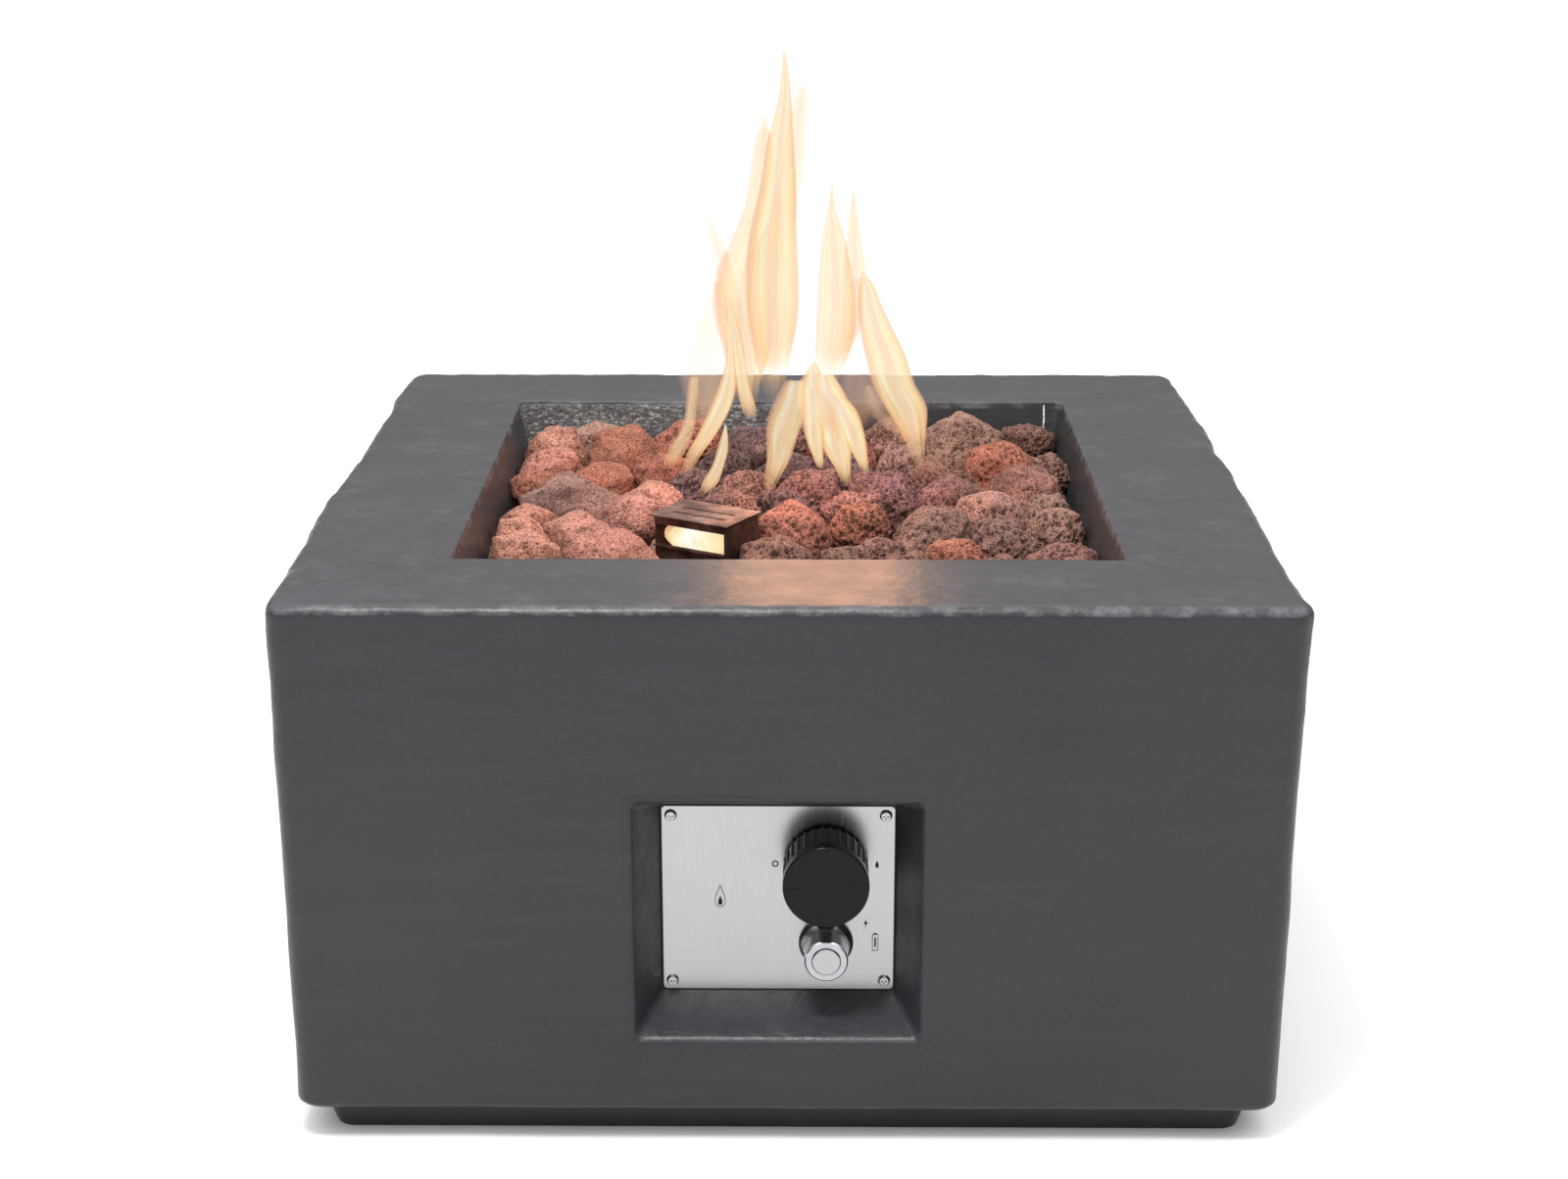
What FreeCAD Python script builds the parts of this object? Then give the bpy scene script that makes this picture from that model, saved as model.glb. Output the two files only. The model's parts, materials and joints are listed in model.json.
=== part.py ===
import FreeCAD, Part
import math
import os
import random

# Square gas fire pit: a hollow stone body with a fire well, a burner tray heaped with lava
# rocks, and a pocket in front for the gas valve and the push igniter.
# Millimetres. Origin at the middle of the base, +Z up, the controls face -Y, +X is to the
# right as seen from the front.

Vector = FreeCAD.Vector

# Stone body
TOP_WIDTH = 711.0
HEIGHT = 406.0
SIDE_LEAN = 2.5                 # each side leans in by this much down to the plinth
PLINTH_HEIGHT = 25.0
PLINTH_SLOPE = 0.24             # inward lean of the plinth per mm of height
WALL = 16.0
SLAB = 26.0                     # thickness of the top
CORNER_RADIUS = 15.0
TOP_EDGE_RADIUS = 8.0
FOOT_EDGE_RADIUS = 7.0
TOP_HALF = TOP_WIDTH / 2
BODY_FOOT_HALF = TOP_HALF - SIDE_LEAN
PLINTH_TOP_HALF = 336.0
PLINTH_FOOT_HALF = PLINTH_TOP_HALF - PLINTH_SLOPE * PLINTH_HEIGHT
PLINTH_INNER_HALF = 312.0
CAVITY_FLOOR = 46.0
CAVITY_HALF = BODY_FOOT_HALF - WALL

# Fire well
WELL_TOP_HALF = 241.0
WELL_DRAFT = 0.2                # the walls close in by this much per mm of depth
COLLAR_WALL = 14.0
LEDGE_TOP = 326.0
LEDGE_BOTTOM = 312.0
LEDGE_INNER_HALF = 213.0

# Control pocket and its panel
POCKET_X, POCKET_Z = -6.3, 172.5
POCKET_HALF_X, POCKET_HALF_Z = 83.6, 72.4
POCKET_FLARE = 0.4              # the pocket widens by this much per mm towards the front
PANEL_BACK = -307.0
PANEL_THICKNESS = 1.5
PANEL_FRONT = PANEL_BACK - PANEL_THICKNESS
FLANGE_DEPTH = 10.0
POCKET_CASE_WALL = 20.0
WINDOW_HALF_X, WINDOW_HALF_Z = 65.0, 54.0
PANEL_HALF_X, PANEL_HALF_Z = 82.9, 71.2
PANEL_SCREW_X, PANEL_SCREW_Z = 76.5, 64.4

# Burner tray
SHEET = 1.2
TRAY_HALF = 211.0
TRAY_FLANGE_HALF = 224.0
TRAY_BOTTOM = 296.0
TRAY_FLOOR = TRAY_BOTTOM + SHEET
TRAY_SCREW_PLACES = [(219.0 * side, 150.0 * end) for side in (-1, 1) for end in (-1, 1)]

# Burner
RING_RADIUS = 115.0
RING_TUBE_RADIUS = 9.5
RING_BORE_RADIUS = 8.2
RING_Z = 315.0
PORT_COUNT = 24
PORT_RADIUS = 1.5
HUB_RADIUS = 16.0
HUB_TOP = 323.0
BAR_RADIUS = 7.5
NECK_RADIUS = 10.5
NECK_BOTTOM = 284.0
MIXER_Z = 272.0
MIXER_RADIUS = 13.0
MIXER_LENGTH = 80.0
SUPPORT_ANGLES = (20, 110, 200, 290)

# Flame shield, drawn square and then turned about the middle of the well
SHIELD_TURN = -30.6
SHIELD_LEFT, SHIELD_RIGHT = -39.0, 25.0
SHIELD_FRONT, SHIELD_BACK = -137.0, -89.0
SHIELD_ROOF = 398.4
SHIELD_WINDOW = (375.0, 391.0)  # lowest and highest point of the window in its front
SHIELD_SKIRT = 328.0            # the side panels end here, above the ring
LEG_WIDTH = 6.0
ELECTRODE_X, THERMOCOUPLE_X, PROBE_Y = -18.0, 4.0, -97.5

# Gas valve and knob, on one axis along Y
VALVE_X, VALVE_Z = 27.5, 199.0
VALVE_HALF_X, VALVE_HALF_Z = 20.0, 18.0
VALVE_FRONT, VALVE_BACK = -296.0, -256.0
PLUG_CHAMBER_FRONT, PLUG_CHAMBER_BACK = -292.0, -266.0
PLUG_FRONT_RADIUS, PLUG_BACK_RADIUS = 9.5, 8.0
RUNNING_GAP = 0.05
STEM_RADIUS = 4.0
PUSH_ROD_RADIUS = 2.0
MAGNET_FRONT, MAGNET_BACK = -262.0, -232.0
MAGNET_RADIUS = 8.4
KNOB_RADIUS = 30.5
KNOB_FACE, KNOB_SHOULDER, KNOB_BACK = -350.5, -340.5, -313.5
KNOB_RIBS = 30
HUB_BACK = -321.0
VALVE_SCREW_OFFSET = 14.0
FITTING_Y = -278.0
INLET_X = 62.0
INLET_END_Z = 150.0
INLET_THREAD_RADIUS = 7.94      # 5/8 inch flare thread, without its turns

# Push igniter, on one axis along Y
IGNITER_X, IGNITER_Z = 28.0, 138.0
BARREL_RADIUS, BATTERY_BORE = 11.0, 7.6
BARREL_BACK = -268.0
SPIGOT_FRONT = -325.0
SPIGOT_RADIUS = 12.5
CAP_RADIUS = 15.5
CAP_FACE, CAP_BACK = -341.5, -322.3
BUTTON_RADIUS = 10.0
BUTTON_FACE = -343.0
COLLAR_BASE_RADIUS, COLLAR_TIP_RADIUS = 19.6, 15.8
COLLAR_TIP = -322.0
BATTERY_RADIUS, BATTERY_LENGTH = 7.25, 50.5
BATTERY_BACK = -272.0

# Leads and hose: hand-placed corners of each route
HOSE_RADIUS = 5.0
HOSE_ROUTE = [
    (-14, -278, 199), (-48, -278, 199), (-76, -256, 212), (-80, -216, 238),
    (-58, -176, 262), (-20, -150, 272), (0, -128, 272), (0, -100, 272),
]
THERMOCOUPLE_LEAD_RADIUS = 1.25
SPARK_LEAD_RADIUS = 2.0

# Lava rocks on top of the heap: x, y, radius and how far the rock stands above the bed
BED_TOP = 386.0
ROCK_ROWS = [
    [(-206, -206, 24, -12), (-158, -198, 29, -10), (-104, -208, 23, -14), (-56, -200, 28, -12),
     (-4, -209, 23, -10), (44, -200, 29, -12), (100, -207, 25, -10), (152, -200, 28, -12),
     (207, -205, 24, -10)],
    [(-215, -150, 21, -4), (-176, -136, 28, 0), (-122, -112, 39, 4), (-20, -128, 26, 0),
     (8, -166, 20, -8), (42, -134, 23, -4), (70, -104, 18, -6), (98, -150, 26, -4),
     (134, -112, 27, -2), (172, -154, 21, -6), (213, -140, 25, 0)],
    [(-210, -86, 21, -2), (-166, -58, 26, 0), (-44, -30, 20, 6), (6, -48, 37, 8),
     (62, -46, 23, 4), (108, -38, 32, 4), (172, -80, 27, 2), (217, -62, 23, 2)],
    [(-214, -34, 22, -2), (-128, -14, 27, 2), (-86, -22, 20, -4), (-50, 22, 22, 0),
     (52, 6, 22, 0), (158, -14, 30, 4), (210, 0, 22, 0), (-2, 20, 22, 2)],
    [(-172, 40, 42, 6), (-112, 52, 24, 0), (-76, 74, 24, 2), (-36, 74, 22, 2),
     (24, 58, 30, 4), (84, 68, 33, 4), (140, 46, 28, 2), (192, 62, 35, 8),
     (-226, 66, 17, 0)],
    [(-218, 118, 26, 6), (-166, 110, 28, 2), (-120, 120, 26, 4), (-72, 122, 25, 4),
     (-20, 118, 28, 4), (34, 122, 26, 4), (88, 134, 26, 4), (136, 118, 28, 4),
     (184, 136, 32, 12), (226, 128, 17, 6)],
    [(-212, 182, 27, 10), (-174, 206, 21, 8), (-136, 178, 34, 12), (-88, 200, 29, 12),
     (-34, 184, 31, 10), (14, 208, 24, 10), (60, 192, 31, 12), (112, 204, 26, 10),
     (166, 198, 37, 18), (218, 204, 22, 8)],
]
ROCK_REACH = (1.12, 1.38)       # how far a rock's corners stand out, in its own radii
FILL_REACH = (0.86, 1.0)
ROCK_FLOOR = 330.5              # the rows lie above the ring, the hub and the tray's flange
ROCK_GAP = 0.6
FILL_PASSES = [(24.0, 1200), (19.0, 2500), (14.0, 5000)]    # smallest radius, tries
FILL_LARGEST = 27.0
FILL_TOP = 376.0
ROCK_SEED = 7


# ---------------------------------------------------------------- plain shapes

def box(x, y, z):
    """Box between a low and a high value on each axis."""
    return Part.makeBox(x[1] - x[0], y[1] - y[0], z[1] - z[0], Vector(x[0], y[0], z[0]))


def rod(start, end, radius, end_radius=None):
    """Cylinder between two points, or a cone where the end has its own radius."""
    start = Vector(*start)
    along = Vector(*end) - start
    if end_radius is None:
        return Part.makeCylinder(radius, along.Length, start, along)
    return Part.makeCone(radius, end_radius, along.Length, start, along)


def hexagon(start, end, inner_radius):
    """Six-sided prism between two points, given half its width across the flats."""
    start = Vector(*start)
    along = Vector(*end) - start
    outer = inner_radius / math.cos(math.pi / 6)
    turns = [math.radians(60 * index + 30) for index in range(7)]
    corners = [Vector(outer * math.cos(turn), outer * math.sin(turn), 0) for turn in turns]
    prism = Part.Face(Part.makePolygon(corners)).extrude(Vector(0, 0, along.Length))
    prism.Placement = FreeCAD.Placement(start, FreeCAD.Rotation(Vector(0, 0, 1), along))
    return prism


def rounded_outline(half_x, half_y, radius):
    """Closed rectangle with rounded corners about the origin, in the XY plane."""
    arcs = []
    for sign_x, sign_y, start in ((1, 1, 0), (-1, 1, 90), (-1, -1, 180), (1, -1, 270)):
        centre = Vector(sign_x * (half_x - radius), sign_y * (half_y - radius), 0)
        arcs.append(Part.makeCircle(radius, centre, Vector(0, 0, 1), start, start + 90))
    edges = []
    for arc, following in zip(arcs, arcs[1:] + arcs[:1]):
        edges.append(arc)
        edges.append(Part.makeLine(arc.lastVertex().Point, following.firstVertex().Point))
    return Part.Wire(edges)


def square_block(low_half, high_half, z_low, z_high, radius):
    """Upright square block whose half width changes evenly from its foot to its top."""
    foot = rounded_outline(low_half, low_half, radius)
    foot.translate(Vector(0, 0, z_low))
    top = rounded_outline(high_half, high_half, radius)
    top.translate(Vector(0, 0, z_high))
    return Part.makeLoft([foot, top], True, True)


def front_outline(half_x, half_z, radius, y):
    """Rounded rectangle about the pocket's middle, standing in a plane of constant Y."""
    outline = rounded_outline(half_x, half_z, radius)
    upright = FreeCAD.Rotation(Vector(1, 0, 0), 90)
    outline.Placement = FreeCAD.Placement(Vector(POCKET_X, y, POCKET_Z), upright)
    return outline


def front_block(half_x, half_z, radius, y_low, y_high):
    """Rounded rectangular block about the pocket's axis."""
    outlines = [front_outline(half_x, half_z, radius, y) for y in (y_low, y_high)]
    return Part.makeLoft(outlines, True, True)


def level_edges(shape, z):
    """Edges of a shape that lie flat at one height."""
    return [edge for edge in shape.Edges
            if abs(edge.BoundBox.ZMin - z) < 0.01 and abs(edge.BoundBox.ZMax - z) < 0.01]


def cut_all(shape, cutters):
    """The shape without any of the cutters."""
    for cutter in cutters:
        shape = shape.cut(cutter)
    return shape


def fuse_all(shapes):
    """One solid from shapes that overlap or touch."""
    whole = shapes[0].multiFuse(shapes[1:])
    return whole.removeSplitter()


def group(shapes):
    """Separate solids kept together under one name."""
    return Part.makeCompound(shapes)


def along_y(x, z, y_front, y_back, radius, end_radius=None):
    """Cylinder or cone on an axis along Y."""
    return rod((x, y_front, z), (x, y_back, z), radius, end_radius)


def coil_spring(x, z, y_front, y_back, mean_radius, wire_radius, turns):
    """Coil spring on an axis along Y, its wire wholly between the two ends."""
    length = y_back - y_front - 2 * wire_radius
    helix = Part.makeHelix(length / turns, length, mean_radius)
    circle = Part.makeCircle(wire_radius, Vector(mean_radius, 0, 0), Vector(0, 1, 0))
    spring = Part.Wire(helix).makePipeShell([Part.Wire(circle)], True, True)
    turn = FreeCAD.Rotation(Vector(0, 0, 1), Vector(0, 1, 0))
    spring.Placement = FreeCAD.Placement(Vector(x, y_front + wire_radius, z), turn)
    return spring


def bent_tube(name, route, radius):
    """Tube along straight runs joined by tangent arcs, each as large as its runs allow."""
    points = [Vector(*point) for point in route]
    edges = []
    start = points[0]
    length = 0.0
    radii = []
    for before, corner, after in zip(points, points[1:], points[2:]):
        incoming = (corner - before).normalize()
        outgoing = (after - corner).normalize()
        half_turn = incoming.getAngle(outgoing) / 2
        setback = 0.45 * min((corner - before).Length, (after - corner).Length)
        bend = setback / math.tan(half_turn)
        arc_start = corner - incoming * setback
        arc_end = corner + outgoing * setback
        bisector = (outgoing - incoming).normalize()
        centre = corner + bisector * (bend / math.cos(half_turn))
        middle = centre + (corner - centre).normalize() * bend
        edges.append(Part.LineSegment(start, arc_start).toShape())
        edges.append(Part.Arc(arc_start, middle, arc_end).toShape())
        length += (arc_start - start).Length + 2 * half_turn * bend
        radii.append(round(bend, 1))
        start = arc_end
    edges.append(Part.LineSegment(start, points[-1]).toShape())
    length += (points[-1] - start).Length
    heading = points[1] - points[0]
    section = Part.Wire(Part.makeCircle(radius, points[0], heading))
    tube = Part.Wire(edges).makePipeShell([section], True, False)
    expected = math.pi * radius ** 2 * length
    print(f"{name}: length {length:.1f}, bends {radii}, volume ratio {tube.Volume / expected:.4f}")
    return tube


# ---------------------------------------------------------------- stone body

def well_half(z):
    """Half width of the fire well at one height."""
    return WELL_TOP_HALF - (HEIGHT - z) * WELL_DRAFT


def body_block():
    """The outside of the body and its plinth."""
    body = square_block(BODY_FOOT_HALF, TOP_HALF, PLINTH_HEIGHT, HEIGHT, CORNER_RADIUS)
    body = body.makeFillet(TOP_EDGE_RADIUS, level_edges(body, HEIGHT))
    body = body.makeFillet(FOOT_EDGE_RADIUS, level_edges(body, PLINTH_HEIGHT))
    overlap = 6.0
    plinth_high = PLINTH_TOP_HALF + PLINTH_SLOPE * overlap
    plinth = square_block(PLINTH_FOOT_HALF, plinth_high, 0, PLINTH_HEIGHT + overlap, CORNER_RADIUS)
    return body.fuse(plinth)


def body_hollow():
    """The space under the top, around the well's collar and the pocket's case."""
    slab_bottom = HEIGHT - SLAB
    hollow = square_block(CAVITY_HALF, CAVITY_HALF, CAVITY_FLOOR, slab_bottom, CORNER_RADIUS)
    mouth = square_block(PLINTH_INNER_HALF, PLINTH_INNER_HALF, -1, CAVITY_FLOOR + 8, CORNER_RADIUS)
    collar = square_block(well_half(LEDGE_BOTTOM) + COLLAR_WALL,
                          well_half(slab_bottom) + COLLAR_WALL,
                          LEDGE_BOTTOM, slab_bottom, CORNER_RADIUS)
    case_back = PANEL_BACK + FLANGE_DEPTH
    case = front_block(POCKET_HALF_X + POCKET_CASE_WALL, POCKET_HALF_Z + POCKET_CASE_WALL,
                       CORNER_RADIUS, -TOP_HALF + 10, case_back)
    return hollow.fuse(mouth).cut(collar).cut(case)


def pocket_cut():
    """The flared pocket in front with the window behind its panel."""
    pocket_front = -TOP_HALF - 5
    flare = POCKET_FLARE * (PANEL_BACK - pocket_front)
    mouth = front_outline(POCKET_HALF_X + flare, POCKET_HALF_Z + flare, 6, pocket_front)
    seat = front_outline(POCKET_HALF_X, POCKET_HALF_Z, 3, PANEL_BACK)
    pocket = Part.makeLoft([mouth, seat], True, True)
    window = front_block(WINDOW_HALF_X, WINDOW_HALF_Z, 4, PANEL_BACK - 1, PANEL_BACK + 15)
    return pocket.fuse(window)


def panel_screw_places():
    """X and Z of the panel's four screws."""
    return [(POCKET_X + side * PANEL_SCREW_X, POCKET_Z - 0.6 + end * PANEL_SCREW_Z)
            for side in (-1, 1) for end in (-1, 1)]


def stone_shell():
    """Cast body: plinth, walls, top, fire well with its ledge, control pocket, hose notch."""
    well_high = HEIGHT + 4
    well = square_block(well_half(LEDGE_TOP), well_half(well_high), LEDGE_TOP, well_high, 6)
    ledge_hole = square_block(LEDGE_INNER_HALF, LEDGE_INNER_HALF, LEDGE_BOTTOM - 5,
                              LEDGE_TOP + 1, 6)
    panel_pilots = [along_y(x, z, PANEL_BACK - 1, PANEL_BACK + 8, 1.7)
                    for x, z in panel_screw_places()]
    tray_pilots = [rod((x, y, LEDGE_TOP - 11), (x, y, LEDGE_TOP + 1), 2.0)
                   for x, y in TRAY_SCREW_PLACES]
    notch_wall = (PLINTH_INNER_HALF - 10, PLINTH_TOP_HALF + 10)
    notch_half, notch_rise = 25.0, 10.0
    arch_radius, arch_z = 30.5, -7.5
    notch = box((-notch_half, notch_half), notch_wall, (-1, notch_rise))
    notch_arch = rod((0, notch_wall[0], arch_z), (0, notch_wall[1], arch_z), arch_radius)
    notch_arch = notch_arch.common(box((-notch_half, notch_half), notch_wall, (-1, 40)))
    cutters = [body_hollow(), well, ledge_hole, pocket_cut(), notch, notch_arch]
    return cut_all(body_block(), cutters + panel_pilots + tray_pilots)


# ---------------------------------------------------------------- burner tray and burner

def turned(x, y, degrees):
    """A point turned about the middle of the well."""
    turn = math.radians(degrees)
    return (x * math.cos(turn) - y * math.sin(turn), x * math.sin(turn) + y * math.cos(turn))


def shield_place(x, y):
    """A point of the shield's own square frame, turned into place."""
    return turned(x, y, SHIELD_TURN)


def turn_to_shield(shape):
    """A shape drawn in the shield's own frame, turned into place."""
    return shape.rotate(Vector(0, 0, 0), Vector(0, 0, 1), SHIELD_TURN)


def shield_foot_places():
    """Screw places of the shield's four feet, in its own frame."""
    foot_reach = 6.0
    return [(x, y)
            for x in (SHIELD_LEFT - foot_reach, SHIELD_RIGHT + foot_reach)
            for y in (SHIELD_FRONT + LEG_WIDTH / 2, SHIELD_BACK - LEG_WIDTH / 2)]


def burner_pan():
    """Folded steel tray that hangs in the well on its flange."""
    flange = square_block(TRAY_FLANGE_HALF, TRAY_FLANGE_HALF, LEDGE_TOP, LEDGE_TOP + SHEET, 5)
    tray = square_block(TRAY_HALF, TRAY_HALF, TRAY_BOTTOM, LEDGE_TOP, 5)
    inner_half = TRAY_HALF - SHEET
    inside = square_block(inner_half, inner_half, TRAY_FLOOR, LEDGE_TOP + 5, 4)
    holes = [rod((0, 0, TRAY_BOTTOM - 1), (0, 0, TRAY_FLOOR + 1), NECK_RADIUS + 0.3)]
    for x, y in TRAY_SCREW_PLACES:
        holes.append(rod((x, y, LEDGE_TOP - 1), (x, y, LEDGE_TOP + 3), 2.2))
    for x, y in shield_foot_places():
        px, py = shield_place(x, y)
        holes.append(rod((px, py, TRAY_BOTTOM - 1), (px, py, TRAY_FLOOR + 1), 1.7))
    for x in (ELECTRODE_X, THERMOCOUPLE_X):
        px, py = shield_place(x, PROBE_Y)
        holes.append(rod((px, py, TRAY_BOTTOM - 1), (px, py, TRAY_FLOOR + 1), 5.2))
    for x in (-185, 185):
        for y in (-185, 185):
            holes.append(rod((x, y, TRAY_BOTTOM - 1), (x, y, TRAY_FLOOR + 1), 4.0))
    return cut_all(flange.fuse(tray), [inside] + holes).removeSplitter()


def round_screw(x, y, seat, head_radius, head_height, shank_radius, shank_length):
    """Pan-head screw pointing down from its seat."""
    head = rod((x, y, seat), (x, y, seat + head_height), head_radius, head_radius * 0.75)
    shank = rod((x, y, seat - shank_length), (x, y, seat), shank_radius)
    slot = box((x - head_radius, x + head_radius), (y - 0.5, y + 0.5),
               (seat + head_height - 0.9, seat + head_height + 1))
    return head.fuse(shank).cut(slot)


def pan_screws():
    """Four screws that hold the tray to the ledge."""
    seat = LEDGE_TOP + SHEET
    return group([round_screw(x, y, seat, 4.0, 2.4, 1.9, 10.0) for x, y in TRAY_SCREW_PLACES])


def ring_solid():
    """The ring's outside, without its bore."""
    return Part.makeTorus(RING_RADIUS, RING_TUBE_RADIUS, Vector(0, 0, RING_Z))


def burner_ring():
    """Round tube with flame ports along its top."""
    bore = Part.makeTorus(RING_RADIUS, RING_BORE_RADIUS, Vector(0, 0, RING_Z))
    ring = ring_solid().cut(bore)
    for index in range(PORT_COUNT):
        turn = 2 * math.pi * (index + 0.5) / PORT_COUNT
        x, y = RING_RADIUS * math.cos(turn), RING_RADIUS * math.sin(turn)
        ring = ring.cut(rod((x, y, RING_Z + 5), (x, y, RING_Z + 12), PORT_RADIUS))
    return ring


def burner_hub():
    """Centre hub with the cross bar that feeds the ring and the neck through the tray."""
    hub = rod((0, 0, TRAY_FLOOR), (0, 0, HUB_TOP), HUB_RADIUS)
    bar = rod((-RING_RADIUS, 0, RING_Z), (RING_RADIUS, 0, RING_Z), BAR_RADIUS)
    neck = rod((0, 0, NECK_BOTTOM), (0, 0, TRAY_FLOOR), NECK_RADIUS)
    whole = fuse_all([hub, bar.cut(ring_solid()), neck])
    chamber = rod((0, 0, TRAY_FLOOR + 3), (0, 0, HUB_TOP - 3), HUB_RADIUS - 3)
    bar_bore = rod((-RING_RADIUS, 0, RING_Z), (RING_RADIUS, 0, RING_Z), BAR_RADIUS - 1.5)
    neck_bore = rod((0, 0, NECK_BOTTOM - 1), (0, 0, TRAY_FLOOR + 4), NECK_RADIUS - 2)
    return cut_all(whole, [chamber, bar_bore, neck_bore])


def burner_supports():
    """Four posts that carry the ring above the tray."""
    posts = []
    for angle in SUPPORT_ANGLES:
        turn = math.radians(angle)
        x, y = RING_RADIUS * math.cos(turn), RING_RADIUS * math.sin(turn)
        posts.append(rod((x, y, TRAY_FLOOR), (x, y, RING_Z - 6), 5.0).cut(ring_solid()))
    return group(posts)


def air_mixer():
    """Elbow and tube under the tray where air joins the gas."""
    socket = rod((0, 0, MIXER_Z - MIXER_RADIUS), (0, 0, TRAY_BOTTOM), MIXER_RADIUS + 1)
    tube = rod((0, 0, MIXER_Z), (0, -MIXER_LENGTH, MIXER_Z), MIXER_RADIUS)
    neck_seat = rod((0, 0, NECK_BOTTOM), (0, 0, TRAY_BOTTOM + 1), NECK_RADIUS + 0.1)
    riser = rod((0, 0, MIXER_Z - 8), (0, 0, NECK_BOTTOM + 1), 9.0)
    bore = rod((0, 0, MIXER_Z), (0, 10 - MIXER_LENGTH, MIXER_Z), 9.0)
    jet_hole = rod((0, -MIXER_LENGTH - 1, MIXER_Z), (0, -MIXER_LENGTH + 12, MIXER_Z), 5.0)
    air_slot = box((-20, 20), (-64, -48), (MIXER_Z - 4, MIXER_Z + 4))
    return cut_all(fuse_all([socket, tube]), [neck_seat, riser, bore, jet_hole, air_slot])


def gas_orifice():
    """Brass jet screwed into the mixer's end, with a nipple for the hose."""
    end = -MIXER_LENGTH
    spud = rod((0, end, MIXER_Z), (0, end + 14, MIXER_Z), 4.9)
    nut = hexagon((0, end - 14, MIXER_Z), (0, end, MIXER_Z), 9.0)
    nipple = rod((0, end - 20, MIXER_Z), (0, end - 14, MIXER_Z), 6.0)
    bore = rod((0, end - 21, MIXER_Z), (0, end + 10, MIXER_Z), 2.5)
    jet = rod((0, end + 9, MIXER_Z), (0, end + 15, MIXER_Z), 0.9)
    return cut_all(fuse_all([spud, nut, nipple]), [bore, jet])


# ---------------------------------------------------------------- flame shield and probes

def flame_shield():
    """Folded sheet hood over the probes, with a window in front and slots in its roof."""
    left, right = SHIELD_LEFT, SHIELD_RIGHT
    front, back = SHIELD_FRONT, SHIELD_BACK
    window_low, window_high = SHIELD_WINDOW
    eave, lip = 3.0, 3.0
    plates = [
        box((left - eave, right + eave), (front - eave, back), (SHIELD_ROOF - SHEET, SHIELD_ROOF)),
        box((left, right), (front, front + SHEET), (window_low - 22, window_low)),
        box((left, right), (front, front + SHEET), (window_high, SHIELD_ROOF)),
        box((left, right), (front - lip, front + SHEET), (window_low - SHEET, window_low)),
        box((left, right), (back - SHEET, back), (SHIELD_SKIRT + 12, SHIELD_ROOF)),
    ]
    for wall in ((left, left + SHEET), (right - SHEET, right)):
        plates.append(box(wall, (front, back), (SHIELD_SKIRT, SHIELD_ROOF)))
        plates.append(box(wall, (front, front + LEG_WIDTH), (TRAY_FLOOR, SHIELD_ROOF)))
        plates.append(box(wall, (back - LEG_WIDTH, back), (TRAY_FLOOR, SHIELD_ROOF)))
    for foot in ((left - 10, left + SHEET), (right - SHEET, right + 10)):
        for leg in ((front, front + LEG_WIDTH), (back - LEG_WIDTH, back)):
            plates.append(box(foot, leg, (TRAY_FLOOR, TRAY_FLOOR + SHEET)))
    cutters = [rod((x, y, TRAY_FLOOR - 1), (x, y, TRAY_FLOOR + 3), 1.7)
               for x, y in shield_foot_places()]
    for slot_y in (front + 12, front + 26):
        cutters.append(box((left + 8, right - 8), (slot_y, slot_y + 2.4),
                           (SHIELD_ROOF - 3, SHIELD_ROOF + 1)))
    return turn_to_shield(cut_all(fuse_all(plates), cutters))


def shield_screws():
    """Four screws through the shield's feet and the tray."""
    seat = TRAY_FLOOR + SHEET
    screws = [round_screw(x, y, seat, 2.8, 1.8, 1.6, 8.0) for x, y in shield_foot_places()]
    return turn_to_shield(group(screws))


def ignition_bracket():
    """Plate on the tray that holds the spark electrode and the thermocouple."""
    plate = box((ELECTRODE_X - 10, THERMOCOUPLE_X + 8), (PROBE_Y - 5.5, PROBE_Y + 5.5),
                (TRAY_FLOOR, TRAY_FLOOR + SHEET))
    holes = [rod((x, PROBE_Y, TRAY_FLOOR - 1), (x, PROBE_Y, TRAY_FLOOR + 3), 4.7)
             for x in (ELECTRODE_X, THERMOCOUPLE_X)]
    return turn_to_shield(cut_all(plate, holes))


def electrode_insulator():
    """Ceramic sleeve of the spark electrode, with a collar that sits on the bracket."""
    x, y = ELECTRODE_X, PROBE_Y
    seat = TRAY_FLOOR + SHEET
    sleeve = fuse_all([rod((x, y, 286), (x, y, 335), 4.5), rod((x, y, seat), (x, y, seat + 3), 5.8)])
    return turn_to_shield(sleeve.cut(rod((x, y, 285), (x, y, 336), 1.3)))


def electrode_rod():
    """Wire inside the insulator, bent over the ring at its tip."""
    x, y = ELECTRODE_X, PROBE_Y
    wire_radius = 1.2
    bend_z = 350.0
    upright = rod((x, y, 282), (x, y, bend_z), wire_radius)
    knee = Part.makeSphere(wire_radius, Vector(x, y, bend_z))
    tip = rod((x, y, bend_z), (x + 3, y - 12, bend_z + 5), wire_radius)
    return turn_to_shield(fuse_all([upright, knee, tip]))


def thermocouple_tip():
    """Flame sensor with the nut that holds it on the bracket."""
    x, y = THERMOCOUPLE_X, PROBE_Y
    seat = TRAY_FLOOR + SHEET
    body = rod((x, y, 290), (x, y, 338), 3.2)
    point = rod((x, y, 338), (x, y, 346), 3.2, 1.5)
    nut = hexagon((x, y, seat), (x, y, seat + 4), 5.4)
    return turn_to_shield(fuse_all([body, point, nut]))


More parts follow.
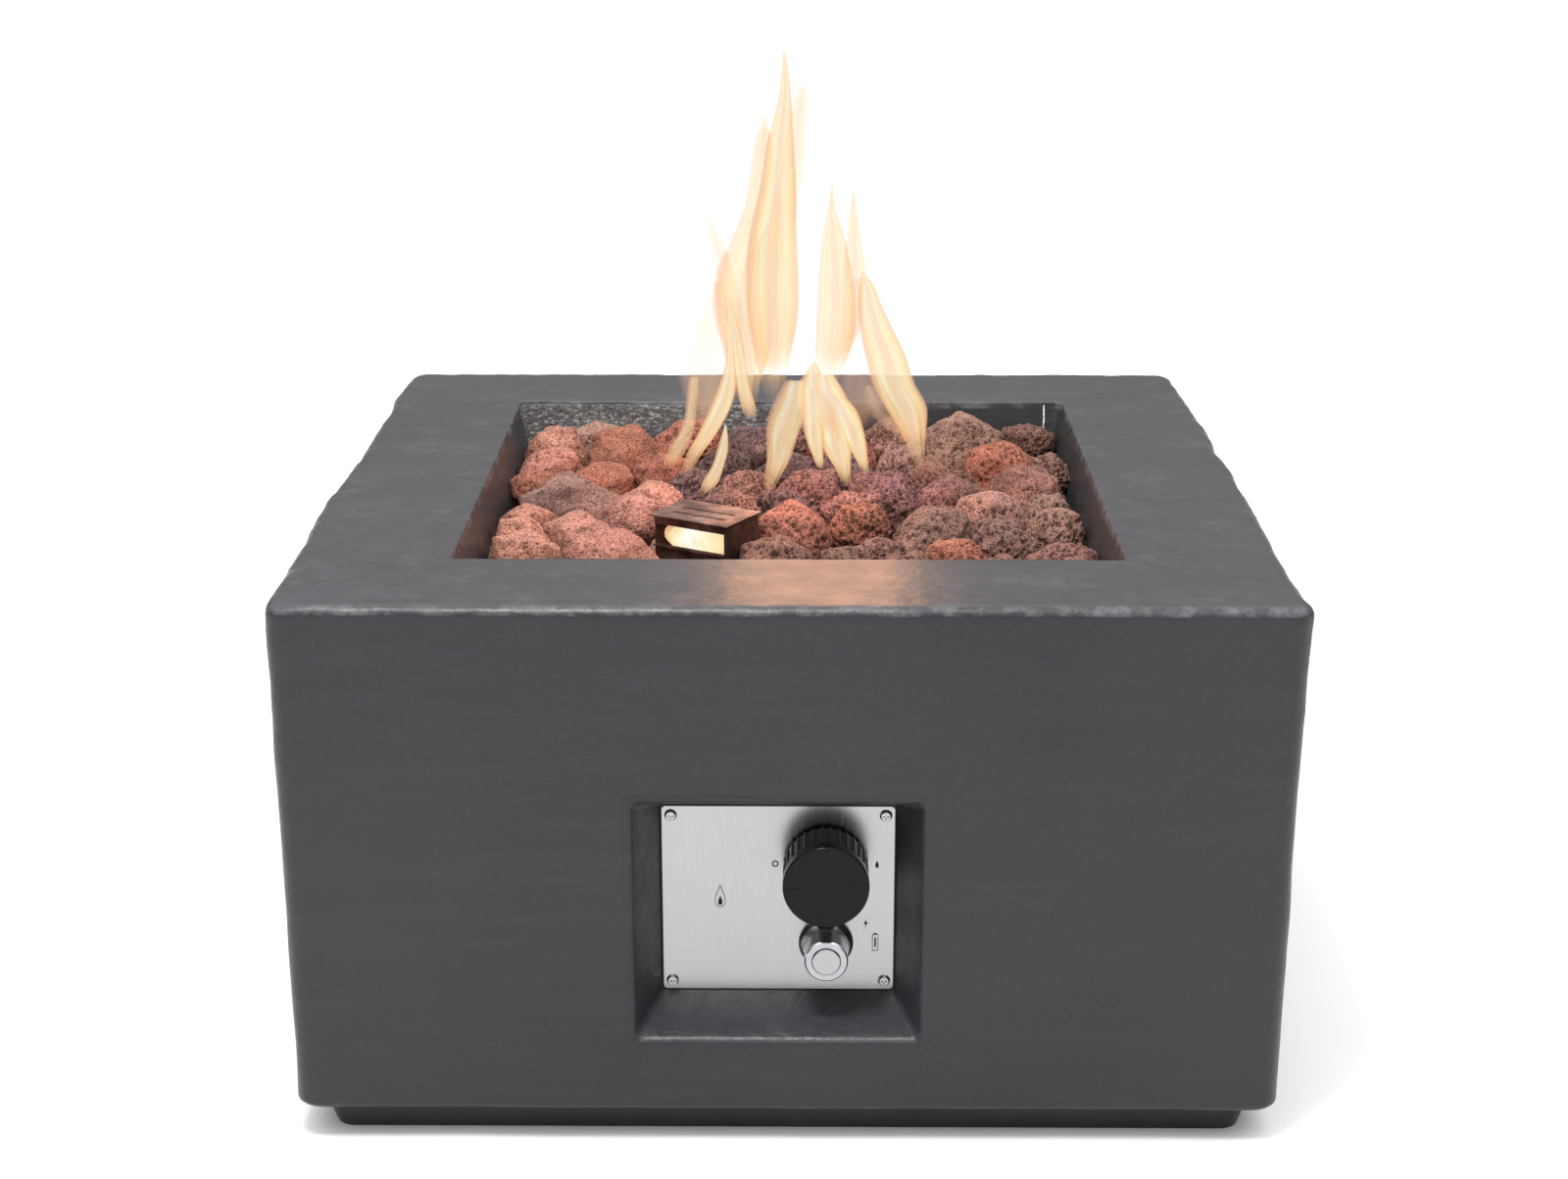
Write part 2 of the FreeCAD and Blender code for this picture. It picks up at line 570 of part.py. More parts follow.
def thermocouple_lead():
    """Copper lead from the valve's magnet to the flame sensor."""
    x, y = shield_place(THERMOCOUPLE_X, PROBE_Y)
    route = [(VALVE_X, -224, VALVE_Z), (VALVE_X, -205, VALVE_Z), (20, -182, 206), (0, -150, 222),
             (-24, -118, 240), (-40, -96, 254), (x, y, 270), (x, y, 290)]
    return bent_tube("thermocouple_lead", route, THERMOCOUPLE_LEAD_RADIUS)


def spark_lead():
    """Insulated lead from the spark module to the electrode."""
    x, y = shield_place(ELECTRODE_X, PROBE_Y)
    route = [(IGNITER_X, -230, IGNITER_Z), (IGNITER_X, -208, IGNITER_Z), (20, -180, 146),
             (0, -150, 166), (-22, -124, 192), (-44, -100, 220), (-60, -84, 246),
             (x, y, 264), (x, y, 282)]
    return bent_tube("spark_lead", route, SPARK_LEAD_RADIUS)


def flexible_gas_hose():
    """Hose from the valve's outlet to the gas jet."""
    return bent_tube("flexible_gas_hose", HOSE_ROUTE, HOSE_RADIUS)


# ---------------------------------------------------------------- panel, valve and knob

def control_panel():
    """Steel plate over the pocket's window, with holes for the valve and the igniter."""
    panel = front_block(PANEL_HALF_X, PANEL_HALF_Z, 3, PANEL_FRONT, PANEL_BACK)
    panel.translate(Vector(0, 0, -0.6))
    holes = [(VALVE_X, VALVE_Z, STEM_RADIUS + 1.5), (IGNITER_X, IGNITER_Z, BARREL_RADIUS + 0.3)]
    holes += [(x, z, 2.2) for x, z in panel_screw_places()]
    holes += [(VALVE_X + side * VALVE_SCREW_OFFSET, VALVE_Z, 1.8) for side in (-1, 1)]
    return cut_all(panel, [along_y(x, z, PANEL_FRONT - 1, PANEL_BACK + 1, radius)
                           for x, z, radius in holes])


def cross_screw(x, z, seat, head_radius, head_height, shank_radius, shank_length):
    """Cross-head screw along Y, its domed head in front of its seat."""
    head = along_y(x, z, seat - head_height, seat, head_radius * 0.7, head_radius)
    shank = along_y(x, z, seat, seat + shank_length, shank_radius)
    face = seat - head_height
    arm, slit = head_radius * 0.5, head_radius * 0.12
    cross = [box((x - arm, x + arm), (face - 1, face + 1.2), (z - slit, z + slit)),
             box((x - slit, x + slit), (face - 1, face + 1.2), (z - arm, z + arm))]
    return cut_all(head.fuse(shank), cross)


def panel_screws():
    """Four cross-head screws that hold the panel."""
    return group([cross_screw(x, z, PANEL_FRONT, 4.5, 2.4, 1.6, 9.0)
                  for x, z in panel_screw_places()])


def valve_screws():
    """Two screws that hold the valve to the panel, under the knob."""
    return group([cross_screw(VALVE_X + side * VALVE_SCREW_OFFSET, VALVE_Z, PANEL_FRONT,
                              3.2, 1.8, 1.6, 5.0) for side in (-1, 1)])


def valve_body():
    """Cast valve block with its mounting flange, plug chamber and seats for its fittings."""
    x, z = VALVE_X, VALVE_Z
    block = box((x - VALVE_HALF_X, x + VALVE_HALF_X), (VALVE_FRONT, VALVE_BACK),
                (z - VALVE_HALF_Z, z + VALVE_HALF_Z))
    block = block.makeFillet(3, [edge for edge in block.Edges if edge.BoundBox.YLength > 30])
    neck = along_y(x, z, PANEL_BACK, VALVE_FRONT, 10.0)
    flange = box((x - 20, x + 20), (PANEL_BACK, PANEL_BACK + 4), (z - 9, z + 9))
    whole = fuse_all([block, neck, flange])
    chamber = along_y(x, z, PLUG_CHAMBER_FRONT, PLUG_CHAMBER_BACK,
                      PLUG_FRONT_RADIUS, PLUG_BACK_RADIUS)
    stem_bore = along_y(x, z, PANEL_BACK - 1, PLUG_CHAMBER_FRONT + 1, STEM_RADIUS + 0.08)
    rod_bore = along_y(x, z, PLUG_CHAMBER_BACK - 1, MAGNET_FRONT + 1, PUSH_ROD_RADIUS + 0.3)
    magnet_seat = along_y(x, z, MAGNET_FRONT, VALVE_BACK + 1, MAGNET_RADIUS + 0.1)
    screw_seats = [along_y(x + side * VALVE_SCREW_OFFSET, z, PANEL_BACK - 1, PANEL_BACK + 4, 1.7)
                   for side in (-1, 1)]
    inlet = rod((x, FITTING_Y, z), (x + VALVE_HALF_X + 1, FITTING_Y, z), 3.5)
    outlet = rod((x, FITTING_Y, z), (x - VALVE_HALF_X - 1, FITTING_Y, z), 3.5)
    return cut_all(whole, [chamber, stem_bore, rod_bore, magnet_seat, inlet, outlet] + screw_seats)


def valve_plug():
    """Tapered plug that turns in the valve and meters the gas."""
    x, z = VALVE_X, VALVE_Z
    front, back = PLUG_CHAMBER_FRONT + 0.5, PLUG_CHAMBER_BACK - 0.5
    plug = along_y(x, z, front, back, PLUG_FRONT_RADIUS - RUNNING_GAP - 0.03,
                   PLUG_BACK_RADIUS - RUNNING_GAP)
    socket = along_y(x, z, front - 1, -281.0, STEM_RADIUS + 0.3)
    passage = along_y(x, z, front - 1, back + 1, PUSH_ROD_RADIUS + 0.3)
    port = rod((x, FITTING_Y + 2, z), (x + 12, FITTING_Y + 2, z), 1.8)
    return cut_all(plug, [socket, passage, port])


def push_rod():
    """Rod behind the stem that lifts the safety valve when the knob is pressed."""
    return along_y(VALVE_X, VALVE_Z, -286.0, -256.0, PUSH_ROD_RADIUS)


def valve_stem():
    """Shaft that carries the knob, with a flat at its front end."""
    stem = along_y(VALVE_X, VALVE_Z, -336.0, -286.0, STEM_RADIUS)
    flat = box((VALVE_X - 5, VALVE_X + 5), (-337, HUB_BACK - 1), (VALVE_Z + 3, VALVE_Z + 6))
    return stem.cut(flat)


def stem_spring():
    """Spring between the panel and the knob's hub."""
    return coil_spring(VALVE_X, VALVE_Z, HUB_BACK + 0.1, PANEL_FRONT - 0.1, 6.0, 0.6, 3)


def magnet_unit():
    """Safety magnet screwed into the back of the valve."""
    x, z = VALVE_X, VALVE_Z
    can = along_y(x, z, MAGNET_FRONT, MAGNET_BACK, MAGNET_RADIUS)
    nut = hexagon((x, MAGNET_BACK, z), (x, MAGNET_BACK + 8, z), 5.0)
    chamber = along_y(x, z, MAGNET_FRONT - 1, MAGNET_FRONT + 12, 5.5)
    return fuse_all([can, nut]).cut(chamber)


def valve_outlet():
    """Nut and nipple for the hose, on the valve's left."""
    side = VALVE_X - VALVE_HALF_X
    nut = hexagon((side, FITTING_Y, VALVE_Z), (-10, FITTING_Y, VALVE_Z), 7.0)
    nipple = rod((-10, FITTING_Y, VALVE_Z), (-14, FITTING_Y, VALVE_Z), 5.5)
    bore = rod((side + 1, FITTING_Y, VALVE_Z), (-15, FITTING_Y, VALVE_Z), 3.0)
    return fuse_all([nut, nipple]).cut(bore)


def inlet_elbow():
    """Elbow on the valve's right that turns down to the thread for the supply hose."""
    side = VALVE_X + VALVE_HALF_X
    arm = rod((side, FITTING_Y, VALVE_Z), (INLET_X, FITTING_Y, VALVE_Z), 8.0)
    knee = Part.makeSphere(8.0, Vector(INLET_X, FITTING_Y, VALVE_Z))
    thread_top = INLET_END_Z + 15
    leg = rod((INLET_X, FITTING_Y, VALVE_Z), (INLET_X, FITTING_Y, thread_top + 8), 8.0)
    nut = hexagon((INLET_X, FITTING_Y, thread_top), (INLET_X, FITTING_Y, thread_top + 8), 9.5)
    thread = rod((INLET_X, FITTING_Y, INLET_END_Z), (INLET_X, FITTING_Y, thread_top),
                 INLET_THREAD_RADIUS)
    bores = [rod((side - 1, FITTING_Y, VALVE_Z), (INLET_X, FITTING_Y, VALVE_Z), 4.0),
             rod((INLET_X, FITTING_Y, INLET_END_Z - 1), (INLET_X, FITTING_Y, VALVE_Z), 4.0)]
    return cut_all(fuse_all([arm, knee, leg, nut, thread]), bores)


def control_knob():
    """Hollow knob: smooth cap in front, ribbed skirt behind, hub on the stem."""
    x, z = VALVE_X, VALVE_Z
    rib_radius = 1.3
    skirt_radius = KNOB_RADIUS - rib_radius
    cap = along_y(x, z, KNOB_FACE, KNOB_SHOULDER, KNOB_RADIUS)
    face_edges = [edge for edge in cap.Edges
                  if abs(edge.BoundBox.YMin - KNOB_FACE) < 0.01 and edge.BoundBox.YLength < 0.01]
    cap = cap.makeFillet(1.5, face_edges)
    ribs = []
    for index in range(KNOB_RIBS):
        turn = 2 * math.pi * index / KNOB_RIBS
        ribs.append(along_y(x + skirt_radius * math.cos(turn), z + skirt_radius * math.sin(turn),
                            KNOB_SHOULDER, KNOB_BACK, rib_radius))
    skirt = along_y(x, z, KNOB_SHOULDER, KNOB_BACK, skirt_radius)
    whole = fuse_all([cap, skirt] + ribs)
    hollow_front = KNOB_FACE + 6.5
    hollow = along_y(x, z, hollow_front, KNOB_BACK + 1, 26.0)
    hub = along_y(x, z, hollow_front - 1, HUB_BACK, 9.0)
    stem_bore = along_y(x, z, -336.2, HUB_BACK + 1, STEM_RADIUS + 0.05)
    pointer = box((x - 28, x - 18), (KNOB_FACE - 1, KNOB_FACE + 0.4), (z - 0.7, z + 0.7))
    return whole.cut(hollow).fuse(hub).cut(stem_bore).cut(pointer)


# ---------------------------------------------------------------- push igniter

def igniter_body():
    """Threaded plastic barrel that holds the battery, with a flange in front of the panel."""
    x, z = IGNITER_X, IGNITER_Z
    barrel = along_y(x, z, PANEL_FRONT, BARREL_BACK, BARREL_RADIUS)
    flange = along_y(x, z, PANEL_FRONT - 2.5, PANEL_FRONT, 15.0)
    spigot = along_y(x, z, SPIGOT_FRONT, PANEL_FRONT - 2.5, SPIGOT_RADIUS)
    bore = along_y(x, z, SPIGOT_FRONT - 1, BATTERY_BACK, BATTERY_BORE)
    return fuse_all([barrel, flange, spigot]).cut(bore)


def igniter_nut():
    """Nut that clamps the igniter to the panel from behind."""
    x, z = IGNITER_X, IGNITER_Z
    nut = hexagon((x, PANEL_BACK, z), (x, PANEL_BACK + 6, z), 14.5)
    return nut.cut(along_y(x, z, PANEL_BACK - 1, PANEL_BACK + 7, BARREL_RADIUS + 0.1))


def igniter_collar():
    """Chrome bezel, hollowed in towards its tip like the bell of a horn."""
    outline = [Vector(SPIGOT_RADIUS + 0.2, 0, 0), Vector(COLLAR_BASE_RADIUS, 0, 0)]
    depth = PANEL_FRONT - COLLAR_TIP
    rim = Vector(COLLAR_BASE_RADIUS, 0, 2.0)
    waist = Vector(COLLAR_TIP_RADIUS + 0.7, 0, depth * 0.5)
    tip = Vector(COLLAR_TIP_RADIUS, 0, depth)
    inner_tip = Vector(SPIGOT_RADIUS + 0.2, 0, depth)
    edges = [Part.makeLine(outline[0], outline[1]), Part.makeLine(outline[1], rim),
             Part.Arc(rim, waist, tip).toShape(), Part.makeLine(tip, inner_tip),
             Part.makeLine(inner_tip, outline[0])]
    collar = Part.Face(Part.Wire(edges)).revolve(Vector(0, 0, 0), Vector(0, 0, 1), 360)
    facing = FreeCAD.Rotation(Vector(0, 0, 1), Vector(0, -1, 0))
    collar.Placement = FreeCAD.Placement(Vector(IGNITER_X, PANEL_FRONT, IGNITER_Z), facing)
    return collar.cut(along_y(IGNITER_X, IGNITER_Z, PANEL_FRONT - 2.6, PANEL_FRONT + 1, 15.2))


def igniter_cap():
    """Screw cap over the battery, with a hole for the button."""
    x, z = IGNITER_X, IGNITER_Z
    cap = along_y(x, z, CAP_FACE, CAP_BACK, CAP_RADIUS)
    face_edges = [edge for edge in cap.Edges
                  if abs(edge.BoundBox.YMin - CAP_FACE) < 0.01 and edge.BoundBox.YLength < 0.01]
    cap = cap.makeChamfer(1.0, face_edges)
    thread = along_y(x, z, CAP_FACE + 7.5, CAP_BACK + 1, SPIGOT_RADIUS + 0.2)
    hole = along_y(x, z, CAP_FACE - 1, CAP_FACE + 8, BUTTON_RADIUS + 0.6)
    return cut_all(cap, [thread, hole])


def igniter_button():
    """Push button held behind the cap's lip by its shoulder."""
    x, z = IGNITER_X, IGNITER_Z
    shoulder_front = CAP_FACE + 7.5
    button = along_y(x, z, BUTTON_FACE, shoulder_front, BUTTON_RADIUS)
    face_edges = [edge for edge in button.Edges
                  if abs(edge.BoundBox.YMin - BUTTON_FACE) < 0.01 and edge.BoundBox.YLength < 0.01]
    button = button.makeFillet(0.8, face_edges)
    shoulder = along_y(x, z, shoulder_front, shoulder_front + 1.5, BUTTON_RADIUS + 1.9)
    contact = along_y(x, z, shoulder_front + 1.5, -329.5, 3.0)
    return fuse_all([button, shoulder, contact])


def battery_spring():
    """Contact spring between the button and the battery."""
    battery_front = BATTERY_BACK - BATTERY_LENGTH
    return coil_spring(IGNITER_X, IGNITER_Z, -329.4, battery_front - 0.1, 3.0, 0.4, 3)


def igniter_battery():
    """AA cell with its small terminal at the back."""
    x, z = IGNITER_X, IGNITER_Z
    cell = along_y(x, z, BATTERY_BACK - BATTERY_LENGTH, BATTERY_BACK - 1, BATTERY_RADIUS)
    terminal = along_y(x, z, BATTERY_BACK - 1, BATTERY_BACK, 2.75)
    return fuse_all([cell, terminal])


def spark_module():
    """Sealed spark generator behind the barrel, with the stub for its lead."""
    x, z = IGNITER_X, IGNITER_Z
    case = box((x - 14, x + 14), (BARREL_BACK, BARREL_BACK + 30), (z - 14, z + 14))
    case = case.makeFillet(2, [edge for edge in case.Edges if edge.BoundBox.YLength > 25])
    return fuse_all([case, along_y(x, z, BARREL_BACK + 30, -230, 3.0)])


# ---------------------------------------------------------------- lava rocks

def unit_icosahedron():
    """Twelve directions and the twenty corner triples of an icosahedron."""
    golden = (1 + math.sqrt(5)) / 2
    corners = []
    for a in (-1, 1):
        for b in (-golden, golden):
            corners += [Vector(0, a, b), Vector(a, b, 0), Vector(b, 0, a)]
    edge = 2.01
    faces = []
    for i in range(12):
        for j in range(i + 1, 12):
            for k in range(j + 1, 12):
                sides = [corners[i] - corners[j], corners[j] - corners[k], corners[k] - corners[i]]
                if max(side.Length for side in sides) < edge:
                    faces.append((i, j, k))
    return [corner.normalize() for corner in corners], faces


def rock_solid(rock, directions, faces, reach, planes, chance):
    """Rough stone about a rock's middle whose corners stay behind every plane."""
    x, y, z, radius = rock
    axis = Vector(chance.uniform(-1, 1), chance.uniform(-1, 1), chance.uniform(-1, 1))
    turn = FreeCAD.Rotation(axis, chance.uniform(0, 360))
    corners = []
    for direction in directions:
        way = turn.multVec(direction)
        length = radius * chance.uniform(*reach)
        for normal, distance in planes:
            slope = way.dot(normal)
            if slope > 0.01:
                length = min(length, distance / slope)
        corners.append(Vector(x, y, z) + way * length)
    triangles = []
    for i, j, k in faces:
        outline = Part.makePolygon([corners[i], corners[j], corners[k], corners[i]])
        triangles.append(Part.Face(outline))
    solid = Part.Solid(Part.Shell(triangles))
    if solid.Volume < 0:
        solid.reverse()
    return solid


def rock_planes(rock, others):
    """Planes about a rock on top, as outward directions and distances from its middle.

    One lies between it and each neighbour, so no two rocks can meet, and the rest keep it
    off the walls, the burner, the shield and the air above the heap.
    """
    x, y, z, radius = rock
    planes = [(Vector(0, 0, -1), z - ROCK_FLOOR), (Vector(0, 0, 1), radius)]
    for other_x, other_y, other_z, other_radius in others:
        along = Vector(other_x - x, other_y - y, other_z - z)
        distance = along.Length
        split = (distance ** 2 + radius ** 2 - other_radius ** 2) / (2 * distance)
        planes.append((along.normalize(), split - ROCK_GAP / 2))
    slant = math.hypot(1, WELL_DRAFT)
    for way_x, way_y in ((1, 0), (-1, 0), (0, 1), (0, -1)):
        room = well_half(z) - (way_x * x + way_y * y)
        planes.append((Vector(way_x, way_y, -WELL_DRAFT) / slant, room / slant - ROCK_GAP))
    planes.append(shield_plane(x, y))
    return planes


def shield_plane(x, y):
    """The side of the flame shield that faces a point, as a direction and a distance."""
    own_x, own_y = turned(x, y, -SHIELD_TURN)
    sides = [(SHIELD_LEFT - 5 - own_x, (1, 0)), (own_x - SHIELD_RIGHT - 5, (-1, 0)),
             (SHIELD_FRONT - 5 - own_y, (0, 1)), (own_y - SHIELD_BACK - 2, (0, -1))]
    distance, facing = max(sides)
    return Vector(*turned(*facing, SHIELD_TURN), 0), distance


def wall_gap(x, y, z):
    """Room from a point to the walls of the well and to the tray's walls and flange."""
    reach = max(abs(x), abs(y))
    well_gap = (well_half(z) - reach) * 0.98
    inner_half = TRAY_HALF - SHEET
    flange_top = LEDGE_TOP + SHEET + 3
    if z < flange_top:
        step_gap = inner_half - reach
    else:
        step_gap = math.hypot(max(0.0, inner_half - reach), z - flange_top)
    return min(well_gap, step_gap)


def burner_gap(x, y, z):
    """Room from a point to the ring, the cross bar and the hub."""
    across = math.hypot(x, y)
    ring = math.hypot(across - RING_RADIUS, z - RING_Z) - RING_TUBE_RADIUS
    bar = math.hypot(max(0.0, abs(x) - RING_RADIUS), math.hypot(y, z - RING_Z)) - BAR_RADIUS
    hub = math.hypot(across, max(0.0, z - HUB_TOP)) - HUB_RADIUS
    return min(ring, bar, hub)


def shield_gap(x, y, z):
    """Room from a point to the block of space that the flame shield takes up."""
    own_x, own_y = turned(x, y, -SHIELD_TURN)
    off_x = max(SHIELD_LEFT - 4 - own_x, own_x - SHIELD_RIGHT - 4, 0.0)
    off_y = max(SHIELD_FRONT - 4 - own_y, own_y - SHIELD_BACK - 1, 0.0)
    foot_gap = math.hypot(max(SHIELD_LEFT - 11 - own_x, own_x - SHIELD_RIGHT - 11, 0.0),
                          off_y, max(0.0, z - TRAY_FLOOR - 4))
    return min(math.hypot(off_x, off_y), foot_gap)


def free_radius(x, y, z, placed):
    """Largest radius that a rock at this point can have."""
    room = min(wall_gap(x, y, z), burner_gap(x, y, z), shield_gap(x, y, z), z - TRAY_FLOOR)
    for other_x, other_y, other_z, other_radius in placed:
        distance = math.dist((x, y, z), (other_x, other_y, other_z))
        room = min(room, distance - other_radius)
        if room < 0:
            break
    return room - ROCK_GAP


def spread_rocks(rocks):
    """Push hand-placed rocks apart, off the walls and off the shield, each at its own height."""
    rocks = [list(rock) for rock in rocks]
    for _ in range(160):
        for first in range(len(rocks)):
            for second in range(first + 1, len(rocks)):
                a, b = rocks[first], rocks[second]
                along = (b[0] - a[0], b[1] - a[1], b[2] - a[2])
                distance = math.hypot(*along)
                overlap = a[3] + b[3] + ROCK_GAP - distance
                if overlap > 0:
                    flat = math.hypot(along[0], along[1]) or 1.0
                    step = 0.3 * overlap / flat
                    a[0] -= step * along[0]
                    a[1] -= step * along[1]
                    b[0] += step * along[0]
                    b[1] += step * along[1]
        for rock in rocks:
            limit = well_half(rock[2]) - rock[3] * 1.02 - ROCK_GAP
            rock[0] = max(-limit, min(limit, rock[0]))
            rock[1] = max(-limit, min(limit, rock[1]))
            blocked = rock[3] + ROCK_GAP - shield_gap(rock[0], rock[1], rock[2])
            if blocked > 0:
                middle = shield_place((SHIELD_LEFT + SHIELD_RIGHT) / 2,
                                      (SHIELD_FRONT + SHIELD_BACK) / 2)
                away = (rock[0] - middle[0], rock[1] - middle[1])
                length = math.hypot(*away)
                rock[0] += 0.5 * blocked * away[0] / length
                rock[1] += 0.5 * blocked * away[1] / length
    return rocks


def top_rocks():
    """The rows of rocks that show, spread apart, as middles and radii."""
    placed = [(x, y, BED_TOP + lift - radius, radius)
              for row in ROCK_ROWS for x, y, radius, lift in row]
    spread = spread_rocks(placed)
    rows = []
    for row in ROCK_ROWS:
        start = sum(len(done) for done in rows)
        rows.append([tuple(rock) for rock in spread[start:start + len(row)]])
    return rows


def fill_rocks(placed, chance):
    """Rocks that fill the tray under the rows, the largest first."""
    reach = well_half(LEDGE_TOP)
    found = []
    for smallest, tries in FILL_PASSES:
        for _ in range(tries):
            x, y = chance.uniform(-reach, reach), chance.uniform(-reach, reach)
            z = chance.uniform(TRAY_FLOOR + smallest, FILL_TOP - smallest)
            radius = min(free_radius(x, y, z, placed + found), FILL_LARGEST,
                         FILL_TOP - z)
            if radius >= smallest:
                found.append((x, y, z, radius))
    return found


def lava_rocks():
    """Every rock node: one for each row on top and two for the fill below."""
    chance = random.Random(ROCK_SEED)
    directions, faces = unit_icosahedron()
    rows = top_rocks()
    on_top = [rock for row in rows for rock in row]
    fill = fill_rocks(on_top, chance)
    nodes = {}
    for number, row in enumerate(rows, start=1):
        solids = []
        for rock in row:
            planes = rock_planes(rock, [other for other in on_top + fill if other is not rock])
            solids.append(rock_solid(rock, directions, faces, ROCK_REACH, planes, chance))
        nodes[f"lava_rocks_row_{number}"] = group(solids)
    halves = {"lava_rocks_fill_front": [rock for rock in fill if rock[1] < 0],
              "lava_rocks_fill_back": [rock for rock in fill if rock[1] >= 0]}
    for name, rocks in halves.items():
        nodes[name] = group([rock_solid(rock, directions, faces, FILL_REACH, [], chance)
                             for rock in rocks])
    print(f"rocks: {len(on_top)} on top, {len(fill)} in the fill")
    return nodes


# ---------------------------------------------------------------- write the nodes

PIECES = [
    stone_shell, burner_pan, pan_screws, burner_ring, burner_hub, burner_supports, air_mixer,
    gas_orifice, flame_shield, shield_screws, ignition_bracket, electrode_insulator,
    electrode_rod, thermocouple_tip, thermocouple_lead, spark_lead, flexible_gas_hose,
    control_panel, panel_screws, valve_screws, valve_body, valve_plug, push_rod, valve_stem,
    stem_spring, magnet_unit, valve_outlet, inlet_elbow, control_knob, igniter_body,
    igniter_nut, igniter_collar, igniter_cap, igniter_button, battery_spring, igniter_battery,
    spark_module,
]

os.makedirs("parts", exist_ok=True)
shapes = {piece.__name__: piece() for piece in PIECES}
shapes.update(lava_rocks())
for name, shape in shapes.items():
    for solid in shape.Solids:
        if not solid.isValid():
            print(f"{name}: a solid is not valid")
    shape.exportStep(f"parts/{name}.step")
print(f"{len(shapes)} nodes")
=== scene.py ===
import json
import math

import bmesh
import bpy
import numpy as np
from mathutils import Matrix, Vector, noise


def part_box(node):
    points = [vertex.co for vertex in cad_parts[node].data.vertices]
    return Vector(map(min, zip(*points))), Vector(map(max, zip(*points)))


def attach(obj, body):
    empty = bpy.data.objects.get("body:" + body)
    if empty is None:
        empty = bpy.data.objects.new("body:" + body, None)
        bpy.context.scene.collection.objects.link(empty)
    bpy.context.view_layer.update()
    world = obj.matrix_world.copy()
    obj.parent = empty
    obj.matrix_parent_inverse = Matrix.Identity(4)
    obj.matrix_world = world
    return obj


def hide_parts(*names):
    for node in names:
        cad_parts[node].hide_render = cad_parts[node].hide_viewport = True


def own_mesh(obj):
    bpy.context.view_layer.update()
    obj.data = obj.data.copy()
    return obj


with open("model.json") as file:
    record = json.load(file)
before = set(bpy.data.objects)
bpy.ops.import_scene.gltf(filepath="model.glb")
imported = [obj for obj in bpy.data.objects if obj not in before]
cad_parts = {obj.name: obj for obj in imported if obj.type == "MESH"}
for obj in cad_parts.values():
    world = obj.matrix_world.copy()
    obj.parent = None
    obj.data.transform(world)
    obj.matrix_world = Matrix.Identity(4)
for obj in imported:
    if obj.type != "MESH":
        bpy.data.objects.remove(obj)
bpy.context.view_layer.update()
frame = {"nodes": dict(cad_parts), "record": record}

# Looks of the square gas fire pit. Metres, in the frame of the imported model: origin at the
# middle of the base, +Z up, the controls face -Y.

nodes = frame["nodes"]

# Camera and light
CAMERA_PLACE = (0.0111, -1.9974, 0.9412)
CAMERA_PITCH = math.radians(17.63)
CAMERA_YAW = 0.0079
CAMERA_LENS = 58.97
CAMERA_SENSOR = 36.0
AMBIENT, OVERHEAD = 0.36, 2.9

# Stone body, as the CAD model has it
shell_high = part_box("stone_shell")[1]
TOP_HALF = shell_high.x
HEIGHT = shell_high.z
BODY_FOOT_HALF = TOP_HALF - 0.0025
PLINTH_HEIGHT = 0.025
PLINTH_FOOT_HALF, PLINTH_TOP_HALF, PLINTH_INNER_HALF = 0.330, 0.336, 0.312
TOP_EDGE_RADIUS, FOOT_EDGE_RADIUS, LIP_RADIUS = 0.008, 0.007, 0.0015
CORNER_RADIUS, WELL_CORNER_RADIUS = 0.015, 0.006
WELL_TOP_HALF, WELL_DRAFT = 0.241, 0.2
LEDGE_TOP, LEDGE_BOTTOM, LEDGE_INNER_HALF = 0.326, 0.312, 0.213
COLLAR_WALL, SLAB_BOTTOM = 0.014, HEIGHT - 0.026
CAVITY_HALF, CAVITY_FLOOR = BODY_FOOT_HALF - 0.016, 0.046

# Control pocket
panel_low, panel_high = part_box("control_panel")
POCKET_X, POCKET_Z = -0.0063, 0.1725
POCKET_HALF_X, POCKET_HALF_Z, POCKET_FLARE = 0.0836, 0.0724, 0.4
POCKET_CASE_WALL, FLANGE_DEPTH = 0.020, 0.010
WINDOW_HALF_X, WINDOW_HALF_Z = 0.065, 0.054
PANEL_BACK = panel_high.y


# ---------------- node helpers

def new_material(name):
    """Empty node material and its main shader."""
    material = bpy.data.materials.new(name)
    material.use_nodes = True
    shader = material.node_tree.nodes["Principled BSDF"]
    return material, shader


def add(owner, kind, inputs=None, **settings):
    """One node in the tree of a material, world or socket, with its settings and inputs."""
    tree = owner.id_data if isinstance(owner, bpy.types.NodeSocket) else owner.node_tree
    node = tree.nodes.new("ShaderNode" + kind)
    for key, value in settings.items():
        setattr(node, key, value)
    for key, value in (inputs or {}).items():
        if isinstance(value, bpy.types.NodeSocket):
            tree.links.new(value, node.inputs[key])
        else:
            node.inputs[key].default_value = value
    return node


def join(output, target):
    """A link between two sockets."""
    output.id_data.links.new(output, target)


def first_socket(*values):
    """The first of several values that is a socket."""
    return next(value for value in values if isinstance(value, bpy.types.NodeSocket))


def place_of(material):
    """Position in the object's own frame, in metres."""
    return add(material, "TexCoord").outputs["Object"]


def stretched(vector, scale):
    """A position scaled by its own amount on each axis."""
    return add(vector, "Mapping", {"Vector": vector, "Scale": scale}).outputs[0]


def grain(vector, scale, detail=4.0, roughness=0.55, distortion=0.0):
    """Value of a fractal noise."""
    made = add(vector, "TexNoise", {
        "Vector": vector, "Scale": scale, "Detail": detail, "Roughness": roughness,
        "Distortion": distortion,
    })
    return made.outputs[0]


